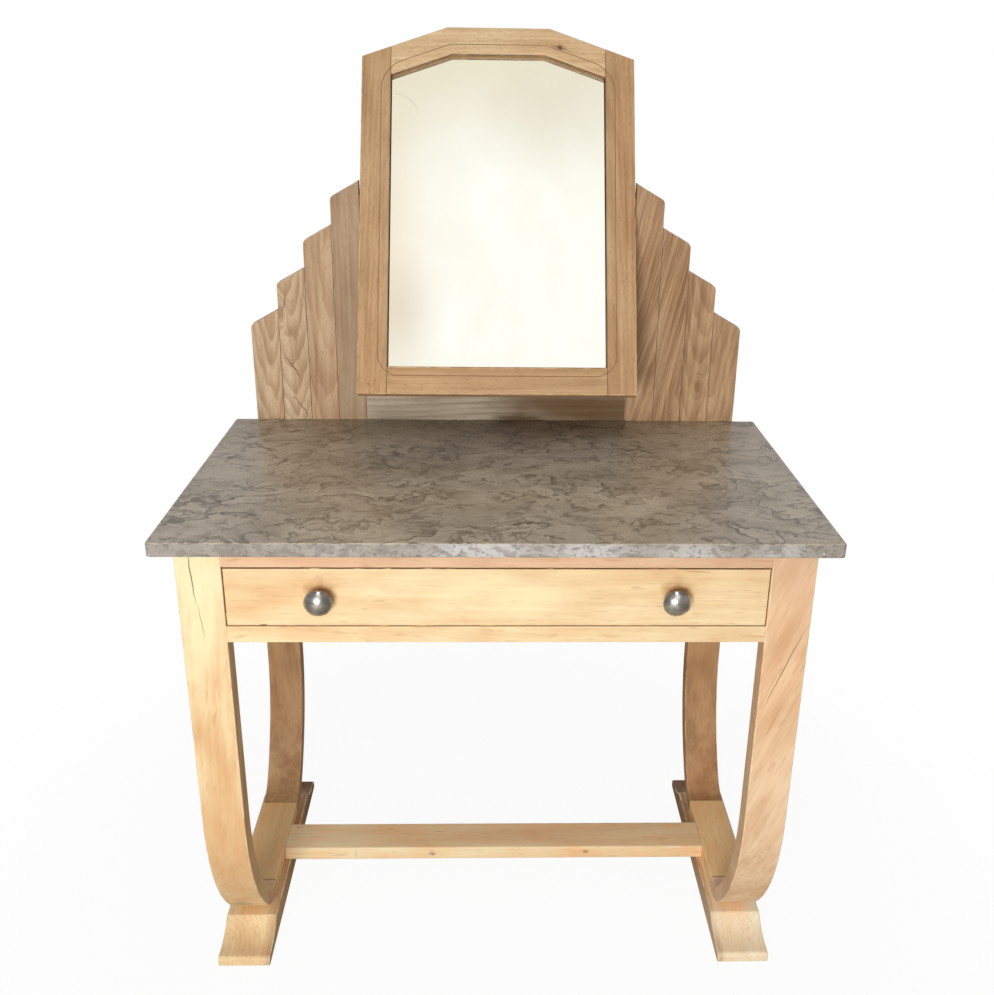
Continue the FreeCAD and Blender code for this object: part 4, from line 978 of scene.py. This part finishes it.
def scored_line():
    """The tool that cuts the scored line: a thin round rod along the path of the line."""
    right = opening(LINE_MARGIN)
    corners = list(right) + [(-across, up) for across, up in reversed(right)]
    path = bmesh.new()
    verts = [path.verts.new(on_frame(across, up, FRAME_THICKNESS / 2)) for across, up in corners]
    path.faces.new(verts)
    turns = [verts[0], verts[1], verts[4], verts[5]]
    bmesh.ops.bevel(
        path,
        geom=turns,
        offset=LINE_TURN,
        affect="VERTICES",
        segments=LINE_TURN_STEPS,
        profile=0.5,
        material=-1,
    )
    face = max(path.faces, key=lambda one: one.calc_area())
    points = [loop.vert.co.copy() for loop in face.loops]
    path.free()
    curve = bpy.data.curves.new("scored_line", "CURVE")
    curve.dimensions = "3D"
    curve.bevel_depth = LINE_RADIUS
    curve.bevel_resolution = 2
    spline = curve.splines.new("POLY")
    spline.points.add(len(points) - 1)
    for point, corner in zip(spline.points, points):
        point.co = (*corner, 1)
    spline.use_cyclic_u = True
    rod = bpy.data.objects.new("scored_line_rod", curve)
    bpy.context.scene.collection.objects.link(rod)
    mesh = bpy.data.meshes.new_from_object(rod.evaluated_get(bpy.context.evaluated_depsgraph_get()))
    bpy.data.objects.remove(rod)
    bpy.data.curves.remove(curve)
    tool = bpy.data.objects.new("scored_line_tool", mesh)
    bpy.context.scene.collection.objects.link(tool)
    return tool


def cut_with(piece, tool):
    """Cuts a piece with a tool for good."""
    cutting = piece.modifiers.new("cut", "BOOLEAN")
    cutting.operation = "DIFFERENCE"
    cutting.solver = "EXACT"
    cutting.material_mode = "TRANSFER"
    cutting.object = tool
    piece.modifiers.move(len(piece.modifiers) - 1, 0)
    smoothing = piece.modifiers["even_normals"]
    smoothing.show_viewport = False
    result = bpy.data.meshes.new_from_object(piece.evaluated_get(bpy.context.evaluated_depsgraph_get()))
    smoothing.show_viewport = True
    piece.modifiers.remove(cutting)
    piece.data = result


FRAME_OAK = {
    **OAK,
    "Ring Width": 0.0036,
    "Wander": 0.016,
    "Rings": 0.24,
    "Streaks": 1.6,
    "Blotches": 1.5,
    "Pale": tint(215, 176, 132),
    "Deep": tint(179, 139, 97),
    "Rubbed": tint(230, 195, 154),
    "Grime And Shade": tint(104, 75, 50),
}
LINE_OAK = {**FRAME_OAK, "Pale": tint(172, 132, 94), "Deep": tint(146, 110, 76)}
STILE_TURN = (QUARTER_TURN, TILT - QUARTER_TURN, QUARTER_TURN)
RAIL_TURN = (-TILT, 0, 0)
OUTWARD = on_frame(0, 0, 1) - PIVOT
NAIL_PLACE = on_frame(-0.2023, -0.3013, FRAME_THICKNESS / 2)
STILE_MARKS = (smudge(NAIL_PLACE, (0.002, 0.01, 0.0025), SPLIT_BROWN, 0.8, RAIL_TURN),)
KNOT_PLACE = on_frame(0.0996, 0.2516, FRAME_THICKNESS / 2)
KNOT_CRACK = math.radians(20)
HEAD_MARKS = (
    smudge(KNOT_PLACE, (0.006, 0.01, 0.007), SPLIT_BROWN, 0.9, RAIL_TURN),
    split(KNOT_PLACE, KNOT_CRACK, (0.026, 0.01, 0.0008), 0.7, tilt=-TILT),
)
HEAD_KNOT = {"knot": KNOT_PLACE, "Knot Size": 0.016, "marks": HEAD_MARKS}
HEAD_PALE = {"Pale": tint(247, 217, 173), "Deep": tint(216, 178, 134)}
RAIL_FACING = 0.5
LIP_FACING = 0.4
LIP_SLOPE = 0.1
LINE_HEART = (0, 0.05, 0.02)


def faces_glass(edge):
    """A test for the front edges of the head and foot rail that run along the glass."""
    middle = (edge.verts[0].co + edge.verts[1].co) / 2
    inward = (PIVOT - middle).normalized()
    inner = any(face.normal.dot(inward) > RAIL_FACING for face in edge.link_faces)
    front = all(abs((vert.co - PIVOT).dot(OUTWARD) - FRAME_THICKNESS / 2) < NEAR for vert in edge.verts)
    return inner and front and max(abs(vert.co.x) for vert in edge.verts) < SIGHT_HALF + NEAR


def darken_lip(shape):
    """Marks the faces of the frame that look at the glass for painted shade, standing for the shade under
    the lip and its dark reflection in the glass.
    """
    edge_marks = shape.loops.layers.float["edge_marks"]
    for face in shape.faces:
        inward = (PIVOT - face.calc_center_median()).normalized()
        if face.normal.dot(inward) > LIP_FACING and abs(face.normal.dot(OUTWARD)) < LIP_SLOPE:
            for loop in face.loops:
                loop[edge_marks] = LIP_SHADE


line_tool = scored_line()
line_tool.data.materials.append(timber("line_oak", "mirror_foot_rail", LINE_OAK, RAIL_TURN, LINE_HEART))
joints = on_plane(0, SIGHT_HALF, -SIGHT_HALF)
for node, turn, heart, changes in (
    ("mirror_stile_left", STILE_TURN, (0.03, 0.06, 0), {"marks": STILE_MARKS}),
    ("mirror_stile_right", STILE_TURN, (-0.02, 0.05, 0), {}),
    ("mirror_head_rail", RAIL_TURN, (0.05, 0.04, -0.06), {**HEAD_KNOT, **HEAD_PALE}),
    ("mirror_foot_rail", RAIL_TURN, (0.02, 0.05, 0.05), {}),
):
    shape = skin_of(node)
    if node.endswith("rail"):
        ease(shape, SIGHT_ARRIS, steps=4, only=faces_glass)
        ease(shape, JOINT_ARRIS, mark=JOINT_GRIME, only=joints)
    else:
        ease(shape, STILE_ARRIS, mark=JOINT_GRIME, only=joints)
    ease(shape, FRAME_ARRIS)
    darken_lip(shape)
    finish = timber(f"{node}_oak", node, FRAME_OAK, turn, heart, Lean=0.03, **changes)
    piece = dress(node, shape, finish, "mirror")
    cut_with(piece, line_tool)
bpy.data.objects.remove(line_tool)

# Looking glass: a clear pane in the rebate of the frame, silvered on its back.
# A plywood sheet backs it, and pine strips hold both in. A curved scratch crosses one corner.
HAZE_WAVES = (5, 5, 4)
HAZE_EDGE = (0.4, 0.75)
HAZE_ROUGHNESS = 0.02
SILVER = tint(254, 254, 250)
SILVER_CREAM = tint(250, 247, 238)
SILVER_ROUGHNESS = 0.01
TINTED_PATCH_EDGE = (1, 0)
# For each tinted patch: its middle, its reach each way, its colour and its strength.
TINTED_PATCHES = (
    (on_frame(-0.175, -0.06, 0), (0.075, 0.1, 0.2), tint(244, 226, 200), 0.5),
    (on_frame(-0.155, -0.18, 0), (0.085, 0.1, 0.13), tint(216, 195, 165), 0.5),
    (on_frame(0.09, 0.15, 0), (0.16, 0.1, 0.15), tint(220, 214, 197), 0.32),
)


def silvering():
    """Old silver behind the glass, with a breath of cream in clouds, two tan patches and a grey one."""
    finish = bpy.data.materials.new("silvering")
    finish.use_nodes = True
    tree = finish.node_tree
    place = put(tree, "ShaderNodeTexCoord", {}).outputs["Object"]
    haze = fade(tree, cloud(tree, place, HAZE_WAVES, 3)["Fac"], *HAZE_EDGE)
    silver = mixed(tree, haze, SILVER, SILVER_CREAM)
    for middle, reach, shade, strength in TINTED_PATCHES:
        spot = {"Vector": place, "Location": middle, "Rotation": RAIL_TURN, "Scale": reach}
        spot = put(tree, "ShaderNodeMapping", spot, vector_type="TEXTURE").outputs[0]
        span = put(tree, "ShaderNodeVectorMath", {0: spot}, operation="LENGTH").outputs["Value"]
        tinted_patch = sum_of(tree, "MULTIPLY", fade(tree, span, *TINTED_PATCH_EDGE), strength)
        silver = mixed(tree, tinted_patch, silver, shade)
    shader = tree.nodes["Principled BSDF"]
    tree.links.new(silver, shader.inputs["Base Color"])
    roughness = sum_of(tree, "MULTIPLY_ADD", haze, HAZE_ROUGHNESS, SILVER_ROUGHNESS)
    tree.links.new(roughness, shader.inputs["Roughness"])
    shader.inputs["Metallic"].default_value = 1
    return finish


WIPE_WAVES = (30, 30, 9)
WIPE_ROUGHNESS = 0.03
WIPE_VEIL = 0.03
GLASS_GREEN = tint(225, 232, 222)
GLASS_PALE = tint(236, 240, 230)
GLASS_ROUGHNESS = 0.02
SCRATCH_HUB = on_frame(-0.172, 0.1345, 0.002)
SCRATCH_RADIUS = 0.0445
SCRATCH_WIDTH = (0.0007, 0.0002)
SCRATCH_FOOT = (0.004, 0.016)
SCRATCH_HEAD = (0, 0.008)
SCRATCH_VEIL = 0.5


def clear_glass():
    """The pane in front of the silver: nearly unseen, with faint wipe marks and the scratch."""
    finish = bpy.data.materials.new("clear_glass")
    finish.use_nodes = True
    tree = finish.node_tree
    place = put(tree, "ShaderNodeTexCoord", {}).outputs["Object"]
    wiped = cloud(tree, place, WIPE_WAVES, 4)["Fac"]
    shader = tree.nodes["Principled BSDF"]
    tree.links.new(mixed(tree, wiped, GLASS_GREEN, GLASS_PALE), shader.inputs["Base Color"])
    roughness = sum_of(tree, "MULTIPLY_ADD", wiped, WIPE_ROUGHNESS, GLASS_ROUGHNESS)
    tree.links.new(roughness, shader.inputs["Roughness"])
    hub = {"Vector": place, "Location": SCRATCH_HUB, "Rotation": RAIL_TURN}
    local = put(tree, "ShaderNodeMapping", hub, vector_type="TEXTURE").outputs[0]
    ways = put(tree, "ShaderNodeSeparateXYZ", {0: local}).outputs
    flat = put(tree, "ShaderNodeCombineXYZ", {"X": ways["X"], "Z": ways["Z"]}).outputs[0]
    span = put(tree, "ShaderNodeVectorMath", {0: flat}, operation="LENGTH").outputs["Value"]
    off = sum_of(tree, "ABSOLUTE", sum_of(tree, "SUBTRACT", span, SCRATCH_RADIUS))
    scratch = sum_of(tree, "MULTIPLY", fade(tree, off, *SCRATCH_WIDTH), fade(tree, ways["Z"], *SCRATCH_FOOT))
    scratch = sum_of(tree, "MULTIPLY", scratch, fade(tree, ways["X"], *SCRATCH_HEAD))
    veil = sum_of(tree, "MULTIPLY", wiped, WIPE_VEIL)
    tree.links.new(sum_of(tree, "MULTIPLY_ADD", scratch, SCRATCH_VEIL, veil), shader.inputs["Alpha"])
    return finish


SILVER_GAP = 0.0004
BACK_FACING = -0.9
BACKING_ARRIS = 0.0005
BACKING_HEART = (0.03, 0.06, 0.02)
shape = skin_of("mirror_glass")
silvered = [face for face in shape.faces if face.normal.dot(OUTWARD) < BACK_FACING]
for face in silvered:
    face.material_index = 1
back = {vert for face in silvered for vert in face.verts}
bmesh.ops.translate(shape, vec=OUTWARD * SILVER_GAP, verts=list(back))
pane = dress("mirror_glass", shape, clear_glass(), "mirror")
pane.data.materials.append(silvering())
for node, slot in (("mirror_backing", "plywood"), ("backing_strips", "brace_wood")):
    shape = skin_of(node)
    ease(shape, BACKING_ARRIS, steps=1)
    finish = timber(f"{node}_pine", node, PINE, STILE_TURN, BACKING_HEART, Lean=0.05)
    dress(node, shape, finish, "mirror")

# Pivots: a steel pin, fast in each wing of the fan, carries a turned brass bush in the stile of the mirror.
# A brass washer between wing and stile keeps them apart.
PIVOT_ARRIS = 0.0003
brass = metal("old_brass", tint(196, 160, 96), tint(140, 108, 58), 0.25, 0.45)
for name, side in SIDES:
    for kind, finish, slot, body in (
        ("pin", steel, "steel", "table"),
        ("washer", brass, "brass", "table"),
        ("bush", brass, "brass", "mirror"),
    ):
        node = f"pivot_{kind}_{name}"
        shape = skin_of(node)
        ease(shape, PIVOT_ARRIS, steps=2)
        dress(node, shape, finish, body)

# Studio: a white floor that keeps a soft shadow and a broad lamp in front, in a plain room of soft light.
# The room has a window high in front with a warm glow round it, a small skylight above the window,
# a dim ceiling, and a paler wall behind the table with a shaded nook in it.
bpy.context.scene.view_settings.view_transform = "Standard"
WHITE = (1, 1, 1, 1)
FLOOR_HALF = 12
FLOOR_CHALK = tint(250, 250, 250)
FLOOR_DULL = tint(188, 182, 173)
SHADOW_REACH = (0.5, 1.2)
SHADOW_SHARE = 0.06
shape = bmesh.new()
bmesh.ops.create_grid(shape, x_segments=1, y_segments=1, size=FLOOR_HALF)
mesh = bpy.data.meshes.new("floor")
shape.to_mesh(mesh)
shape.free()
floor = bpy.data.objects.new("floor", mesh)
bpy.context.scene.collection.objects.link(floor)
floor_white = bpy.data.materials.new("floor_white")
floor_white.use_nodes = True
tree = floor_white.node_tree
tree.nodes.clear()
place = put(tree, "ShaderNodeTexCoord", {}).outputs["Object"]
reach = put(tree, "ShaderNodeVectorMath", {0: place}, operation="LENGTH").outputs["Value"]
looked_at = put(tree, "ShaderNodeLightPath", {}).outputs["Is Camera Ray"]
far = sum_of(tree, "MULTIPLY_ADD", fade(tree, reach, *SHADOW_REACH), SHADOW_SHARE, 1 - SHADOW_SHARE)
white = put(tree, "ShaderNodeEmission", {"Color": WHITE, "Strength": 1}).outputs[0]
chalk = put(tree, "ShaderNodeBsdfDiffuse", {"Color": FLOOR_CHALK}).outputs[0]
dull = put(tree, "ShaderNodeBsdfDiffuse", {"Color": FLOOR_DULL}).outputs[0]
shown = put(tree, "ShaderNodeMixShader", {0: far, 1: chalk, 2: white}).outputs[0]
surface = put(tree, "ShaderNodeMixShader", {0: looked_at, 1: dull, 2: shown}).outputs[0]
put(tree, "ShaderNodeOutputMaterial", {"Surface": surface})
mesh.materials.append(floor_white)

WALLS = (0.27, 0.262, 0.255, 1)
BACK_WALL = (0.74, 0.76, 0.8, 1)
BACK_WALL_EDGE = (0.95, 0.15)
CEILING = (0.12, 0.12, 0.12, 1)
CEILING_EDGE = (0.72, 0.9)
WINDOW_WAY = (0.04, -0.757, 0.652)
SKYLIGHT_WAY = (0, -0.43, 0.903)
NOOK_WAY = (0, 0.94, 0.342)
# For each patch of the room: the way to its middle, where its edge fades, and how bright it is.
PATCHES = (
    (WINDOW_WAY, (0.42, 0.2), (0.88, 0.84, 0.7, 1)),
    (WINDOW_WAY, (0.21, 0.09), (1.04, 1.04, 1.0, 1)),
    (SKYLIGHT_WAY, (0.14, 0.07), (6, 6, 6, 1)),
    (NOOK_WAY, (0.28, 0.18), (0.1, 0.09, 0.08, 1)),
)
world = bpy.data.worlds.new("pale_room")
bpy.context.scene.world = world
world.use_nodes = True
tree = world.node_tree
tree.nodes.clear()
way = put(tree, "ShaderNodeTexCoord", {}).outputs["Generated"]
ways = put(tree, "ShaderNodeSeparateXYZ", {0: way}).outputs
room = mixed(tree, fade(tree, ways["Y"], *BACK_WALL_EDGE), BACK_WALL, WALLS)
room = mixed(tree, fade(tree, ways["Z"], *CEILING_EDGE), room, CEILING)
for middle, edge, light in PATCHES:
    off = put(tree, "ShaderNodeVectorMath", {0: way, 1: middle}, operation="DISTANCE").outputs["Value"]
    room = mixed(tree, fade(tree, off, *edge), room, light)
room_light = put(tree, "ShaderNodeBackground", {"Color": room, "Strength": 1}).outputs[0]
white_sky = put(tree, "ShaderNodeBackground", {"Color": WHITE, "Strength": 1}).outputs[0]
camera_ray = put(tree, "ShaderNodeLightPath", {}).outputs["Is Camera Ray"]
sky = put(tree, "ShaderNodeMixShader", {0: camera_ray, 1: room_light, 2: white_sky}).outputs[0]
put(tree, "ShaderNodeOutputWorld", {"Surface": sky})

LAMP_PLACE = Vector((-0.55, -2.85, 1.1))
LAMP_AIM = Vector((0, 0, 0.6))
LAMP_WIDTH = 1.0
LAMP_HEIGHT = 0.9
LAMP_WATTS = 54
lamp_data = bpy.data.lights.new("front_lamp", "AREA")
lamp_data.shape = "RECTANGLE"
lamp_data.size = LAMP_WIDTH
lamp_data.size_y = LAMP_HEIGHT
lamp_data.energy = LAMP_WATTS
lamp = bpy.data.objects.new("front_lamp", lamp_data)
lamp.location = LAMP_PLACE
lamp.rotation_euler = (LAMP_AIM - LAMP_PLACE).to_track_quat("-Z", "Y").to_euler()
bpy.context.scene.collection.objects.link(lamp)

# Camera: it stands in front of the slab, at the photograph's place and angle. The focal length,
# the middle of the picture and the point that the lens looks at are in the photograph's pixels.
IMAGE_HEIGHT = 995
FOCAL = 1032.4
MIDDLE = (497, 497.5)
CENTRE = (515.1, 458.9)
SENSOR = 36
PITCH = math.radians(20.2)
YAW = math.radians(-1.6)
ROLL = math.radians(0.8)
EYE_ASIDE = -0.0142
EYE_DISTANCE = 1.18767
EYE_HEIGHT = 1.3015
camera_data = bpy.data.cameras.new("camera")
camera_data.sensor_width = SENSOR
camera_data.lens = FOCAL * SENSOR / IMAGE_HEIGHT
camera_data.shift_x = (MIDDLE[0] - CENTRE[0]) / IMAGE_HEIGHT
camera_data.shift_y = (CENTRE[1] - MIDDLE[1]) / IMAGE_HEIGHT
camera = bpy.data.objects.new("camera", camera_data)
eye = Vector((EYE_ASIDE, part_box("marble_top")[0].y - EYE_DISTANCE, EYE_HEIGHT))
aim = Matrix.Rotation(YAW, 4, "Z") @ Matrix.Rotation(QUARTER_TURN - PITCH, 4, "X")
camera.matrix_world = Matrix.Translation(eye) @ aim @ Matrix.Rotation(ROLL, 4, "Z")
bpy.context.scene.collection.objects.link(camera)
bpy.context.scene.camera = camera
